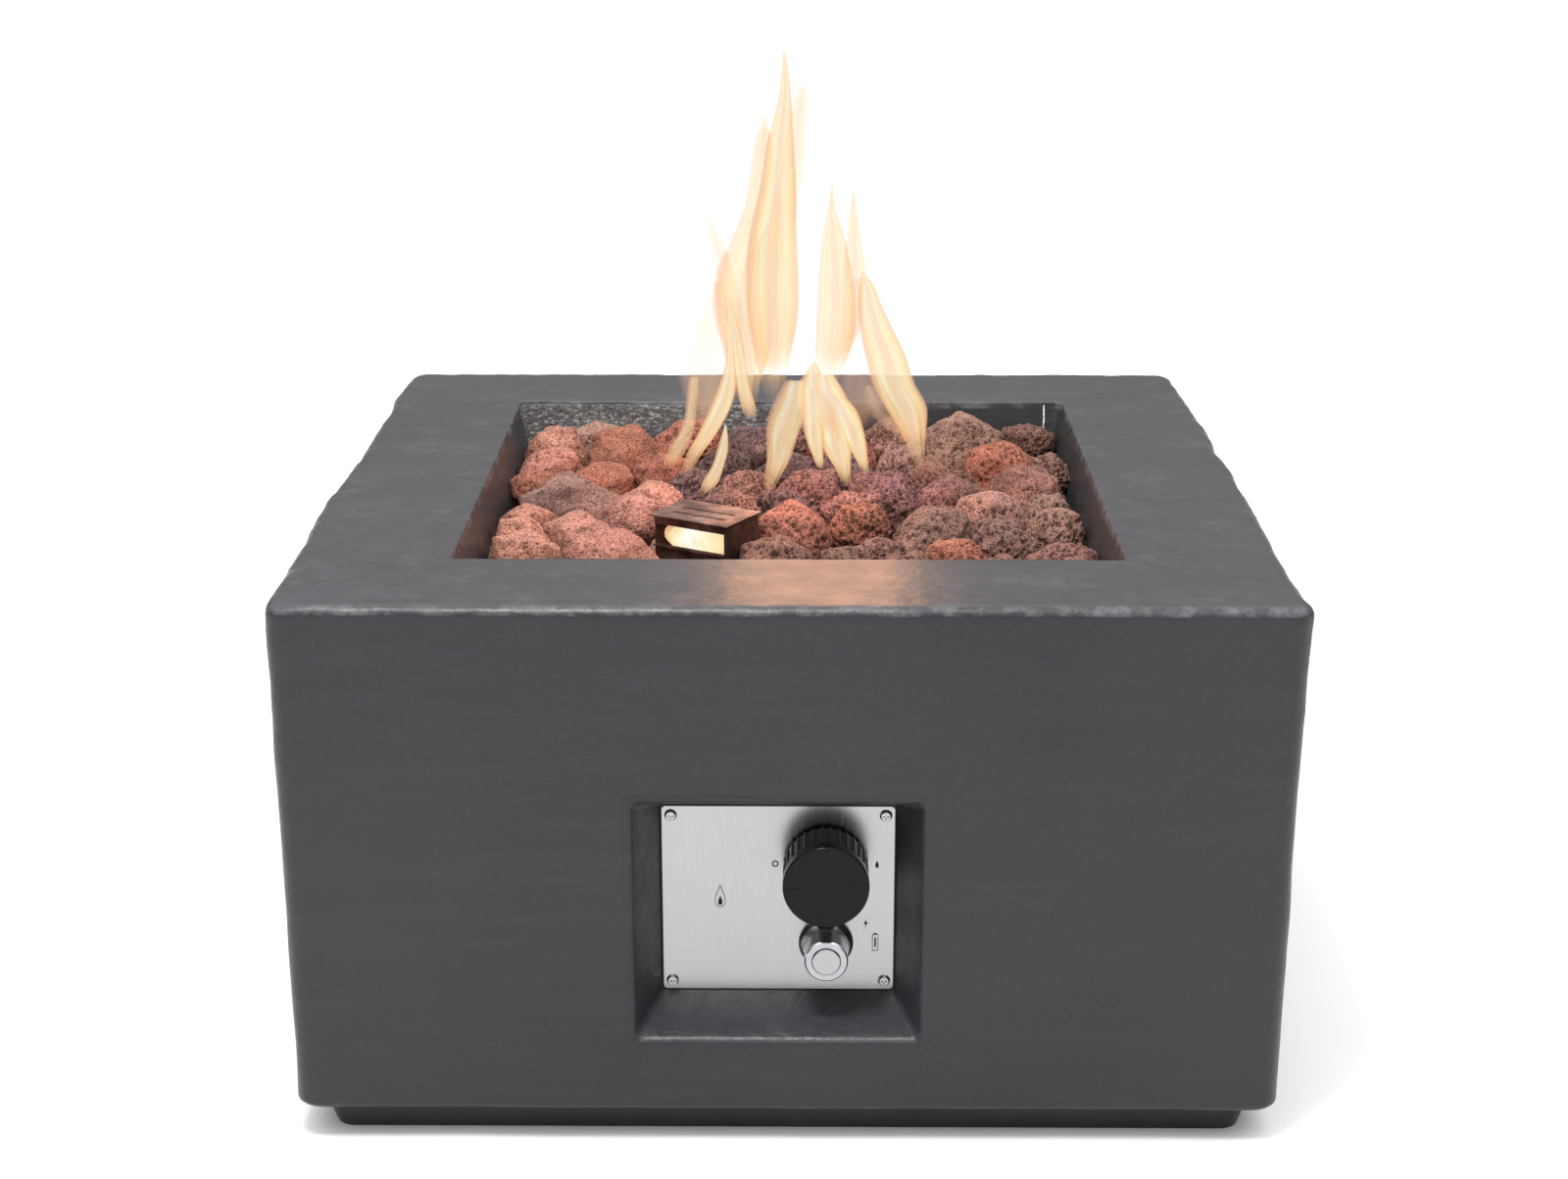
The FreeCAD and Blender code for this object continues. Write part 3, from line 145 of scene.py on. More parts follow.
def ramp(value, stops):
    """Colour ramp from (position, colour) stops; a colour may be one grey value."""
    made = add(value, "ValToRGB", {"Fac": value})
    elements = made.color_ramp.elements
    while len(elements) < len(stops):
        elements.new(0.5)
    for element, (position, colour) in zip(elements, stops):
        element.position = position
        element.color = (colour,) * 3 + (1,) if isinstance(colour, float) else (*colour, 1)
    return made.outputs[0]


def mixed(amount, first, second, blend="MIX"):
    """Mix of two colours."""
    made = add(first_socket(amount, first, second), "Mix", data_type="RGBA", blend_type=blend)
    for socket, value in ((made.inputs[0], amount), (made.inputs[6], first),
                          (made.inputs[7], second)):
        if isinstance(value, bpy.types.NodeSocket):
            join(value, socket)
        elif isinstance(value, tuple):
            socket.default_value = (*value, 1)
        else:
            socket.default_value = value
    return made.outputs[2]


def tinted(colour, tint):
    """A colour multiplied by another."""
    return mixed(1.0, colour, tint, "MULTIPLY")


def sums(operation, first, second, third=None):
    """One arithmetic step."""
    made = add(first_socket(first, second), "Math", operation=operation)
    for socket, value in zip(made.inputs, (first, second, third)):
        if isinstance(value, bpy.types.NodeSocket):
            join(value, socket)
        elif value is not None:
            socket.default_value = value
    return made.outputs[0]


def times(first, *others):
    """Product of several values."""
    for other in others:
        first = sums("MULTIPLY", first, other)
    return first


def fade(value, start, end, first=0.0, last=1.0):
    """Smooth change from a first to a last level while a value goes from start to end."""
    return add(value, "MapRange", {
        "Value": value, "From Min": start, "From Max": end, "To Min": first, "To Max": last,
    }, interpolation_type="SMOOTHSTEP").outputs[0]


def band(value, low, high, soft):
    """1 between low and high, fading to 0 over a soft width."""
    rise = fade(value, low - soft, low)
    fall = fade(value, high, high + soft, 1.0, 0.0)
    return times(rise, fall)


def separate(vector):
    """X, Y and Z of a vector."""
    return add(vector, "SeparateXYZ", {"Vector": vector}).outputs[:]


def bump(shader, height, strength, distance):
    """Bump in metres on the main shader, over any bump it already has."""
    made = add(height, "Bump", {"Strength": strength, "Distance": distance, "Height": height})
    normal = shader.inputs["Normal"]
    if normal.is_linked:
        join(normal.links[0].from_socket, made.inputs["Normal"])
    join(made.outputs[0], normal)


# ---------------- materials

def stone_paint():
    """Satin charcoal paint over cast, lightly hewn stone."""
    material, shader = new_material("stone_paint")
    place = place_of(material)
    x, y, z = separate(place)
    broad = grain(place, 5.0, 5.0, 0.6)
    streaks = grain(stretched(place, (8, 24, 70)), 1.0, 4.0, 0.6)
    fine = grain(place, 260.0, 3.0, 0.6)
    colour = ramp(broad, [(0.3, (0.0190, 0.0190, 0.0228)),
                          (0.7, (0.0245, 0.0245, 0.0286))])
    colour = mixed(ramp(streaks, [(0.45, 0.0), (0.75, 0.5)]),
                   colour, (0.030, 0.030, 0.0350))
    colour = mixed(ramp(fine, [(0.55, 0.0), (0.8, 0.3)]),
                   colour, (0.050, 0.050, 0.056))
    # Lighter band along the rim's outer edge: partly rubbed paint, partly a painted highlight
    colour = mixed(worn_and_highlit_edge(place, z), colour, (0.17, 0.17, 0.18))
    inside = well_mask(x, y, z)
    # Pale flecks on the crinkled back wall are painted glints, standing in for highlights on its
    # gloss
    painted_glints = ramp(grain(stretched(place, (1, 1, 2)), 190.0, 4.0, 0.7),
                  [(0.50, 0.16), (0.66, 1.0)])
    colour = mixed(times(inside, painted_glints), colour, (0.34, 0.33, 0.32))
    colour = mixed(corner_seam(x, y, z), colour, (0.7, 0.7, 0.68))
    join(colour, shader.inputs["Base Color"])

    rough = ramp(grain(place, 40.0, 4.0), [(0.3, 0.31), (0.7, 0.43)])
    rough = mixed(inside, rough, (0.13, 0.13, 0.13))
    join(rough, shader.inputs["Roughness"])
    shader.inputs["Specular IOR Level"].default_value = 0.3

    bump(shader, broad, 0.5, 0.004)
    bump(shader, streaks, 0.35, 0.0016)
    bump(shader, grain(place, 90.0, 5.0, 0.6), 0.5, 0.0012)
    bump(shader, fine, 0.25, 0.0003)
    crinkle = grain(stretched(place, (1.0, 1.0, 1.6)), 150.0, 5.0, 0.65, 0.6)
    bump(shader, times(crinkle, inside), 1.0, 0.0060)
    return material


def well_mask(x, y, z):
    """Crinkled, glossy paint on the left of the well's back wall, fading along it; the same patch
    carries painted glints.
    """
    back = band(y, 0.222, 0.243, 0.004)
    side = band(x, -0.240, -0.060, 0.110)
    deep = band(z, 0.320, HEIGHT - 0.004, 0.002)
    return times(back, side, deep)


def corner_seam(x, y, z):
    """Pale, broken line of filler down the well's back right corner."""
    wander = grain(z, 60.0, 3.0)
    offset = sums("MULTIPLY_ADD", wander, 0.004, 0.2235)
    offset = sums("SUBTRACT", x, offset)
    line = band(offset, -0.0004, 0.0004, 0.0005)
    back = band(y, 0.228, 0.243, 0.002)
    height = band(z, 0.380, 0.402, 0.002)
    broken = ramp(grain(z, 240.0, 2.0), [(0.35, 0.2), (0.5, 1.0)])
    return times(line, back, height, broken)


def worn_and_highlit_edge(place, z):
    """Rubbed paint along the rim's outer edge, lightened further as a painted highlight on that
    edge.
    """
    patch = ramp(grain(place, 60.0, 6.0, 0.7), [(0.45, 0.0), (0.66, 0.42)])
    edge = band(z, HEIGHT - 0.0050, HEIGHT - 0.0012, 0.0015)
    return times(patch, edge)


def lava():
    """Porous lava: its tint is painted on each rock, pits and dust come from noise; pits and pores
    are darkened as painted shade.
    """
    material, shader = new_material("lava")
    place = place_of(material)
    tint = add(material, "Attribute", attribute_name="rock_tint").outputs["Color"]
    pit_shade = add(material, "Attribute", attribute_name="rock_pit_shade").outputs["Fac"]
    mottle = grain(place, 130.0, 6.0, 0.65)
    colour = mixed(ramp(mottle, [(0.35, 0.0), (0.68, 1.0)]),
                   tinted(tint, (0.62, 0.58, 0.58)), tint)
    dust = ramp(grain(place, 420.0, 4.0, 0.6), [(0.55, 0.0), (0.75, 0.65)])
    colour = mixed(dust, colour, tinted(tint, (1.5, 1.5, 1.55)))
    cells = add(material, "TexVoronoi", {"Vector": place, "Scale": 560.0,
                                         "Randomness": 1.0})
    pores = ramp(cells.outputs["Distance"], [(0.14, 0.0), (0.42, 1.0)])
    # Dark pore centres are painted shade inside the pores
    colour = mixed(pores, tinted(colour, (0.3, 0.26, 0.26)), colour)
    # Darker deep in the pits: painted shade
    colour = mixed(pit_shade, colour, tinted(tint, (0.16, 0.13, 0.13)))
    join(colour, shader.inputs["Base Color"])
    shader.inputs["Roughness"].default_value = 0.92
    shader.inputs["Specular IOR Level"].default_value = 0.25
    bump(shader, mottle, 0.7, 0.0022)
    bump(shader, pores, 0.9, 0.0012)
    bump(shader, grain(place, 900.0, 3.0), 0.5, 0.0003)
    return material


def metal(name, colour, darker, roughness, scale=180.0, stretch=(1, 1, 1), depth=0.00004):
    """Metal with fine scratches that run along the axis stretched least."""
    material, shader = new_material(name)
    place = place_of(material)
    lines = grain(stretched(place, stretch), scale, 5.0, 0.6)
    cloud = grain(place, 22.0, 4.0)
    shade = mixed(ramp(lines, [(0.3, 0.0), (0.7, 1.0)]), darker, colour)
    shade = mixed(ramp(cloud, [(0.4, 0.0), (0.75, 0.25)]), shade, darker)
    join(shade, shader.inputs["Base Color"])
    shader.inputs["Metallic"].default_value = 1.0
    low, high = roughness
    join(ramp(lines, [(0.25, low), (0.75, high)]), shader.inputs["Roughness"])
    bump(shader, lines, 0.35, depth)
    return material


def plastic(name, colour, roughness, grain_size, depth):
    """Moulded plastic with a fine skin and faint rubbed patches."""
    material, shader = new_material(name)
    place = place_of(material)
    skin = grain(place, grain_size, 4.0, 0.6)
    patch = grain(place, 60.0, 5.0, 0.6)
    lighter = tuple(min(1.0, part * 1.6 + 0.001) for part in colour)
    join(mixed(ramp(patch, [(0.45, 0.0), (0.8, 0.5)]), colour, lighter),
         shader.inputs["Base Color"])
    low, high = roughness
    join(ramp(patch, [(0.3, low), (0.7, high)]), shader.inputs["Roughness"])
    shader.inputs["Specular IOR Level"].default_value = 0.15
    bump(shader, skin, 0.3, depth)
    return material


def heated_steel():
    """Steel sheet tinted brown and blue by heat, with soot."""
    material, shader = new_material("heated_steel")
    place = place_of(material)
    tints = grain(place, 28.0, 4.0, 0.5, 0.8)
    colour = ramp(tints, [(0.28, (0.05, 0.035, 0.035)), (0.45, (0.15, 0.080, 0.062)),
                          (0.58, (0.23, 0.145, 0.125)), (0.72, (0.10, 0.080, 0.11))])
    soot = ramp(grain(place, 70.0, 5.0, 0.65), [(0.42, 0.0), (0.66, 0.85)])
    join(mixed(soot, colour, (0.03, 0.025, 0.025)), shader.inputs["Base Color"])
    shader.inputs["Metallic"].default_value = 0.9
    join(ramp(tints, [(0.3, 0.6), (0.7, 0.42)]), shader.inputs["Roughness"])
    bump(shader, grain(place, 600.0, 3.0), 0.25, 0.0001)
    return material


def ceramic():
    """Off-white fired ceramic, browned towards its tip."""
    material, shader = new_material("white_ceramic")
    place = place_of(material)
    height = separate(place)[2]
    brown = add(material, "MapRange", {"Value": height, "From Min": 0.318,
                                       "From Max": 0.336}).outputs[0]
    speck = ramp(grain(place, 900.0, 2.0), [(0.6, 0.0), (0.75, 0.3)])
    colour = mixed(brown, (0.80, 0.77, 0.70), (0.38, 0.24, 0.15))
    join(mixed(speck, colour, (0.45, 0.36, 0.28)), shader.inputs["Base Color"])
    join(ramp(speck, [(0.0, 0.28), (1.0, 0.5)]), shader.inputs["Roughness"])
    bump(shader, grain(place, 500.0, 3.0), 0.2, 0.0001)
    return material


def battery_wrap():
    """Printed sleeve: dark with a copper-coloured end, without any lettering."""
    material, shader = new_material("battery_wrap")
    place = place_of(material)
    y = separate(place)[1]
    low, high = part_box("igniter_battery")
    end = low.y + 0.3 * (high.y - low.y)
    front = add(material, "Math", {0: y, 1: end}, operation="LESS_THAN").outputs[0]
    scuff = ramp(grain(place, 300.0, 4.0), [(0.55, 0.0), (0.8, 0.5)])
    colour = mixed(front, (0.03, 0.03, 0.035), (0.45, 0.22, 0.08))
    join(mixed(scuff, colour, (0.3, 0.3, 0.3)), shader.inputs["Base Color"])
    join(ramp(scuff, [(0.0, 0.25), (1.0, 0.5)]), shader.inputs["Roughness"])
    return material


def dress_cad_nodes():
    """Give every CAD node the material of its slot."""
    finishes = {
        "stone_paint": stone_paint(),
        "lava": lava(),
        "tray_steel": metal("tray_steel", (0.34, 0.33, 0.32), (0.16, 0.15, 0.15), (0.35, 0.55)),
        "heated_steel": heated_steel(),
        "panel_steel": metal("panel_steel", (0.385, 0.385, 0.38), (0.33, 0.33, 0.33), (0.20, 0.28),
                             60.0, (40, 1, 1), 0.00001),
        "zinc_steel": metal("zinc_steel", (0.50, 0.50, 0.51), (0.26, 0.26, 0.27), (0.16, 0.34)),
        "chrome_trim": metal("chrome_trim", (0.40, 0.41, 0.43), (0.32, 0.32, 0.34), (0.07, 0.14)),
        "knob_black": plastic("knob_black", (0.0025, 0.0025, 0.0032), (0.14, 0.24), 900.0, 0.00003),
        "black_plastic": plastic("black_plastic", (0.022, 0.022, 0.023), (0.45, 0.6), 1400.0,
                                 0.0001),
        "brass": metal("brass", (0.72, 0.52, 0.22), (0.46, 0.31, 0.12), (0.22, 0.38), 240.0),
        "cast_aluminium": metal("cast_aluminium", (0.62, 0.62, 0.62), (0.42, 0.42, 0.42),
                                (0.4, 0.6), 500.0, (1, 1, 1), 0.0002),
        "white_ceramic": ceramic(),
        "hose_rubber": plastic("hose_rubber", (0.016, 0.016, 0.016), (0.5, 0.7), 700.0, 0.0002),
        "battery_wrap": battery_wrap(),
    }
    for part in frame["record"]["subparts"]:
        mesh = nodes[part["node"]].data
        mesh.materials.clear()
        mesh.materials.append(finishes[part["material_slot"]])
    return finishes


# ---------------- mesh helpers

def mesh_object(name, points, faces):
    """New object from points and faces."""
    mesh = bpy.data.meshes.new(name)
    mesh.from_pydata([tuple(point) for point in points], [], faces)
    mesh.update()
    made = bpy.data.objects.new(name, mesh)
    bpy.context.scene.collection.objects.link(made)
    return made


def bridged(count, rings, looped=False):
    """Four-sided faces between neighbouring rings, each of the same count of points."""
    faces = []
    for ring in range(rings if looped else rings - 1):
        following = (ring + 1) % rings
        for step in range(count):
            beside = (step + 1) % count
            faces.append((ring * count + step, ring * count + beside,
                          following * count + beside, following * count + step))
    return faces


def end_faces(count, rings):
    """Two faces that close the first and the last ring."""
    total = count * rings
    return [tuple(range(count)), tuple(range(total - 1, total - count - 1, -1))]


def smooth(piece):
    """Smooth shading on every face."""
    piece.data.polygons.foreach_set("use_smooth", [True] * len(piece.data.polygons))


def smooth_by_angle(piece, degrees):
    """Smooth shading with sharp edges past an angle."""
    smooth(piece)
    piece.data.set_sharp_from_angle(angle=math.radians(degrees))


def face_outwards(piece):
    """Make every face of a closed mesh point outwards."""
    work = bmesh.new()
    work.from_mesh(piece.data)
    bmesh.ops.recalc_face_normals(work, faces=work.faces)
    work.to_mesh(piece.data)
    work.free()


def carve(piece, other, operation):
    """Apply a boolean with another object, which is removed."""
    step = piece.modifiers.new("carve", "BOOLEAN")
    step.operation = operation
    step.solver = "EXACT"
    step.object = other
    view = bpy.context.evaluated_depsgraph_get()
    result = bpy.data.meshes.new_from_object(piece.evaluated_get(view))
    piece.modifiers.clear()
    piece.data = result
    bpy.data.objects.remove(other)


# ---------------- stone body

SIDE_STEPS, CORNER_STEPS = 128, 6
RING_POINTS = 4 * (SIDE_STEPS + CORNER_STEPS)

# Hand finish: how far the surface wanders near the corners, more on the left and right sides and
# more towards the rim
RIM_START, RIM_SPAN = 0.30, 0.10
EDGE_START, EDGE_SPAN = 0.300, 0.045
SIDE_SWING, SIDE_RIM_SWING = 0.0012, 0.0036
FRONT_SWING, FRONT_RIM_SWING = 0.0009, 0.0006
RIPPLE, CHIP = 0.0004, 0.0005
FLAT_FOOT = 0.004


def well_half(z):
    """Half width of the fire well at one height."""
    return WELL_TOP_HALF - (HEIGHT - z) * WELL_DRAFT


def square_ring(half, radius, z):
    """Points round a square with rounded corners, the same number for every ring."""
    points = []
    for side in range(4):
        turn = Matrix.Rotation(side * math.pi / 2, 3, "Z")
        for step in range(SIDE_STEPS):
            x = -(half - radius) + 2 * (half - radius) * step / SIDE_STEPS
            points.append(turn @ Vector((x, -half, z)))
        for step in range(CORNER_STEPS):
            angle = math.pi / 2 * step / CORNER_STEPS - math.pi / 2
            corner = Vector((half - radius + radius * math.cos(angle),
                             -(half - radius) + radius * math.sin(angle), z))
            points.append(turn @ corner)
    return points


def straight(start, end, steps):
    """Rings (half, corner radius, height) from a start up to, not including, an end."""
    return [tuple(a + (b - a) * step / steps for a, b in zip(start, end)) for step in range(steps)]


def rounded(centre_half, centre_z, edge_radius, start_angle, end_angle, steps, corner):
    """Rings round a quarter circle in the profile, up to, not including, its end."""
    rings = []
    for step in range(steps):
        angle = math.radians(start_angle + (end_angle - start_angle) * step / steps)
        rings.append((centre_half + edge_radius * math.cos(angle), corner,
                      centre_z + edge_radius * math.sin(angle)))
    return rings


def shell_profile():
    """Closed profile of the stone body as rings, up the outside, down the well and back inside,
    and how many of the first rings are hand-finished."""
    outer, inner = CORNER_RADIUS, WELL_CORNER_RADIUS
    foot_centre = BODY_FOOT_HALF - FOOT_EDGE_RADIUS
    foot_top = PLINTH_HEIGHT + FOOT_EDGE_RADIUS
    rim_centre = TOP_HALF - TOP_EDGE_RADIUS
    rim_low = HEIGHT - TOP_EDGE_RADIUS
    lip_centre = WELL_TOP_HALF + LIP_RADIUS
    rings = straight((PLINTH_FOOT_HALF, outer, 0), (PLINTH_TOP_HALF, outer, PLINTH_HEIGHT), 6)
    rings += straight((PLINTH_TOP_HALF, outer, PLINTH_HEIGHT),
                      (foot_centre, outer, PLINTH_HEIGHT), 3)
    rings += rounded(foot_centre, foot_top, FOOT_EDGE_RADIUS, -90, 0, 6, outer)
    rings += straight((BODY_FOOT_HALF, outer, foot_top), (TOP_HALF - 0.0001, outer, rim_low), 64)
    rings += rounded(rim_centre, rim_low, TOP_EDGE_RADIUS, 0, 90, 7, outer)
    rings += straight((rim_centre, outer, HEIGHT), (lip_centre, inner, HEIGHT), 20)
    rings += rounded(lip_centre, HEIGHT - LIP_RADIUS, LIP_RADIUS, 90, 180, 3, inner)
    hewn_rings = len(rings)
    rings += straight((WELL_TOP_HALF, inner, HEIGHT - LIP_RADIUS),
                      (well_half(LEDGE_TOP), inner, LEDGE_TOP), 14)
    corners = [
        (well_half(LEDGE_TOP), inner, LEDGE_TOP),
        (LEDGE_INNER_HALF, inner, LEDGE_TOP),
        (LEDGE_INNER_HALF, inner, LEDGE_BOTTOM),
        (well_half(LEDGE_BOTTOM) + COLLAR_WALL, outer, LEDGE_BOTTOM),
        (well_half(SLAB_BOTTOM) + COLLAR_WALL, outer, SLAB_BOTTOM),
        (CAVITY_HALF, outer, SLAB_BOTTOM),
        (CAVITY_HALF, outer, CAVITY_FLOOR),
        (PLINTH_INNER_HALF, outer, CAVITY_FLOOR),
        (PLINTH_INNER_HALF, outer, 0),
        (PLINTH_FOOT_HALF, outer, 0),
    ]
    for start, end in zip(corners, corners[1:]):
        rings += straight(start, end, 2)
    return rings, hewn_rings


def clamped(value):
    """A value kept between 0 and 1."""
    return max(0.0, min(1.0, value))


def hewn(point, outward):
    """Where a point of the cast surface really lies: hand-finished sides and edges wander."""
    rim = clamped((point.z - RIM_START) / RIM_SPAN)
    reach = max(abs(point.x), abs(point.y))
    near_edge = clamped((reach - EDGE_START) / EDGE_SPAN)
    if abs(point.x) > abs(point.y):
        level = Vector((math.copysign(1, point.x), 0, 0))
        swing = SIDE_SWING + SIDE_RIM_SWING * rim
    else:
        level = Vector((0, math.copysign(1, point.y), 0))
        swing = FRONT_SWING + FRONT_RIM_SWING * rim
    wave = noise.noise(point * 13.0) * 0.9 + noise.noise(point * 31.0) * 0.35
    moved = point + level * (swing * wave * near_edge)
    ripple = noise.noise(point * 22.0 + Vector((7, 3, 1))) * RIPPLE
    chip = noise.noise(point * 95.0) * CHIP * near_edge * rim
    return moved + outward * (ripple + chip)


def cast_block():
    """The body before its openings are cut, with its hand-finished outside."""
    rings, hewn_rings = shell_profile()
    points = [point for half, radius, z in rings for point in square_ring(half, radius, z)]
    block = mesh_object("hewn_stone_body", points, bridged(RING_POINTS, len(rings), looped=True))
    face_outwards(block)
    mesh = block.data
    outwards = [vertex.normal.copy() for vertex in mesh.vertices]
    for vertex in mesh.vertices[:hewn_rings * RING_POINTS]:
        foot = min(1.0, vertex.co.z / FLAT_FOOT)
        vertex.co = vertex.co.lerp(hewn(vertex.co, outwards[vertex.index]), foot)
    mesh.update()
    return block


def stone_body():
    """The whole cast body with its pocket, window and hose notch."""
    body = cast_block()
    case_half_x, case_half_z = POCKET_HALF_X + POCKET_CASE_WALL, POCKET_HALF_Z + POCKET_CASE_WALL
    carve(body, rounded_prism("pocket_case", [
        (case_half_x, case_half_z, 0.015, -TOP_HALF + 0.012),
        (case_half_x, case_half_z, 0.015, PANEL_BACK + FLANGE_DEPTH)]), "UNION")
    carve(body, pocket_cutter(), "DIFFERENCE")
    carve(body, rounded_prism("window", [
        (WINDOW_HALF_X, WINDOW_HALF_Z, 0.004, PANEL_BACK - 0.002),
        (WINDOW_HALF_X, WINDOW_HALF_Z, 0.004, PANEL_BACK + 0.015)]), "DIFFERENCE")
    carve(body, hose_notch(), "DIFFERENCE")
    smooth_by_angle(body, 38)
    return body


def upright_ring(half_x, half_z, radius, y):
    """Points round a rounded rectangle about the pocket's axis, in a plane of constant Y."""
    points = []
    for sign_x, sign_z, start in ((1, 1, 0), (-1, 1, 90), (-1, -1, 180), (1, -1, 270)):
        for step in range(CORNER_STEPS + 1):
            angle = math.radians(start + 90 * step / CORNER_STEPS)
            points.append(Vector((
                POCKET_X + sign_x * (half_x - radius) + radius * math.cos(angle), y,
                POCKET_Z + sign_z * (half_z - radius) + radius * math.sin(angle))))
    return points


def rounded_prism(name, stations):
    """Closed solid through upright rounded rectangles (half x, half z, radius, y)."""
    rings = [upright_ring(*station) for station in stations]
    return closed_prism(name, rings)


def closed_prism(name, rings):
    """Closed solid through rings with the same count of points."""
    count = len(rings[0])
    points = [point for ring in rings for point in ring]
    faces = end_faces(count, len(rings)) + bridged(count, len(rings))
    prism = mesh_object(name, points, faces)
    face_outwards(prism)
    return prism


def pocket_cutter():
    """The flared pocket, with its mouth rounded over where it meets the front."""
    rounding, steps = 0.005, 5
    front = -(BODY_FOOT_HALF + 0.0010)
    stations = [(POCKET_HALF_X + 0.045, POCKET_HALF_Z + 0.045, 0.02, front - 0.02)]
    for step in range(steps + 1):
        angle = math.pi / 2 * step / steps
        y = front + rounding * (1 - math.cos(angle))
        spread = rounding * (1 - math.sin(angle))
        flare = POCKET_FLARE * (PANEL_BACK - y)
        stations.append((POCKET_HALF_X + flare + spread, POCKET_HALF_Z + flare + spread, 0.006, y))
    for depth in (0.25, 0.5, 0.75, 1.0):
        y = front + rounding + (PANEL_BACK - front - rounding) * depth
        flare = POCKET_FLARE * (PANEL_BACK - y)
        stations.append((POCKET_HALF_X + flare, POCKET_HALF_Z + flare, 0.006 - 0.003 * depth, y))
    return rounded_prism("pocket", stations)


def hose_notch():
    """Arched notch through the back of the plinth."""
    half, radius, centre_z, steps = 0.025, 0.0305, -0.0075, 12
    outline = [(-half, -0.01), (half, -0.01)]
    spread = math.asin(half / radius)
    for step in range(steps + 1):
        angle = spread - 2 * spread * step / steps
        outline.append((radius * math.sin(angle), centre_z + radius * math.cos(angle)))
    return closed_prism("notch", [[Vector((x, y, z)) for x, z in outline]
                                  for y in (PLINTH_INNER_HALF - 0.01, PLINTH_TOP_HALF + 0.01)])


# ---------------- lava rocks

SALMON = np.array((0.350, 0.162, 0.114))
TERRACOTTA = np.array((0.255, 0.096, 0.062))
BROWN = np.array((0.195, 0.096, 0.073))
PLUM = np.array((0.110, 0.062, 0.060))
ASH = np.array((0.225, 0.128, 0.098))
ROCK_FACES = 190000
ROCK_SEED, HIDDEN_PORE_SHARE = 100, 0.2
LATTICE_SIZE = 24
LATTICE = np.random.default_rng(5).uniform(-1, 1, (LATTICE_SIZE,) * 3)


def solid_noise(points, scale):
    """Smooth noise between -1 and 1 at each point, with lumps of 1 / scale metres."""
    place = points * scale + 40.0
    cell = np.floor(place).astype(int)
    part = place - cell
    part = part * part * (3 - 2 * part)
    total = np.zeros(len(points))
    for corner in ((0, 0, 0), (0, 0, 1), (0, 1, 0), (0, 1, 1),
                   (1, 0, 0), (1, 0, 1), (1, 1, 0), (1, 1, 1)):
        index = (cell + corner) % LATTICE_SIZE
        share = np.where(np.array(corner) == 1, part, 1 - part).prod(axis=1)
        total += share * LATTICE[index[:, 0], index[:, 1], index[:, 2]]
    return total


def layered_noise(points, scale, octaves):
    """Sum of finer and weaker layers of noise."""
    return sum(solid_noise(points + 3.7 * step, scale * 2.1 ** step) * 0.5 ** step
               for step in range(octaves))


def cube_sphere(count):
    """Even grid of directions over a sphere, count squares along each side of a cube."""
    line = np.tan(np.linspace(-1, 1, count + 1) * math.pi / 4)
    u, v = np.meshgrid(line, line, indexing="ij")
    one = np.ones_like(u)
    sides = [(one, u, v), (-one, v, u), (v, one, u), (u, -one, v), (u, v, one), (v, u, -one)]
    grid = np.concatenate([np.stack(side, axis=-1).reshape(-1, 3) for side in sides])
    grid /= np.linalg.norm(grid, axis=1)[:, None]
    _, first, same = np.unique(np.round(grid, 6), axis=0, return_index=True, return_inverse=True)
    same = same.reshape(-1)
    start = (np.arange(count)[:, None] * (count + 1) + np.arange(count)[None, :]).ravel()
    square = np.stack([start, start + count + 1, start + count + 2, start + 1], axis=1)
    faces = np.concatenate([square + side * (count + 1) ** 2 for side in range(6)])
    return grid[first], same[faces]


def rock_corners(node):
    """Corner points of each separate rock in a CAD node."""
    work = bmesh.new()
    work.from_mesh(nodes[node].data)
    bmesh.ops.remove_doubles(work, verts=work.verts, dist=1e-5)
    work.verts.ensure_lookup_table()
    seen, rocks = set(), []
    for start in work.verts:
        if start.index in seen:
            continue
        seen.add(start.index)
        found, waiting = [], [start]
        while waiting:
            vertex = waiting.pop()
            found.append(vertex.co[:])
            for edge in vertex.link_edges:
                other = edge.other_vert(vertex)
                if other.index not in seen:
                    seen.add(other.index)
                    waiting.append(other)
        rocks.append(np.array(found))
    work.free()
    return rocks


def hull_planes(corners, middle):
    """Outward directions and distances of the planes of the corners' convex hull."""
    work = bmesh.new()
    for corner in corners:
        work.verts.new(corner)
    bmesh.ops.convex_hull(work, input=work.verts)
    planes = []
    for face in work.faces:
        face.normal_update()
        normal = np.array(face.normal[:])
        distance = float(np.dot(normal, np.array(face.verts[0].co[:]) - middle))
        if distance < 0:
            normal, distance = -normal, -distance
        planes.append((normal, max(distance, 0.004)))
    work.free()
    return np.array([plane[0] for plane in planes]), np.array([plane[1] for plane in planes])


def pits(surface, chance, count, small, large):
    """Depth of round pores over a surface, and how deep in a pore each point lies."""
    centres = surface[chance.integers(0, len(surface), count)]
    radii = small + (large - small) * chance.uniform(0, 1, count) ** 2.4
    depth = np.zeros(len(surface))
    inside = np.zeros(len(surface))
    for centre, radius in zip(centres, radii):
        near = np.abs(surface - centre).max(axis=1) < radius
        away = np.linalg.norm(surface[near] - centre, axis=1) / radius
        bowl = np.clip(1 - away ** 2, 0, 1)
        depth[near] = np.maximum(depth[near], bowl ** 0.6 * radius * 0.9)
        inside[near] = np.maximum(inside[near], bowl)
    return depth, inside


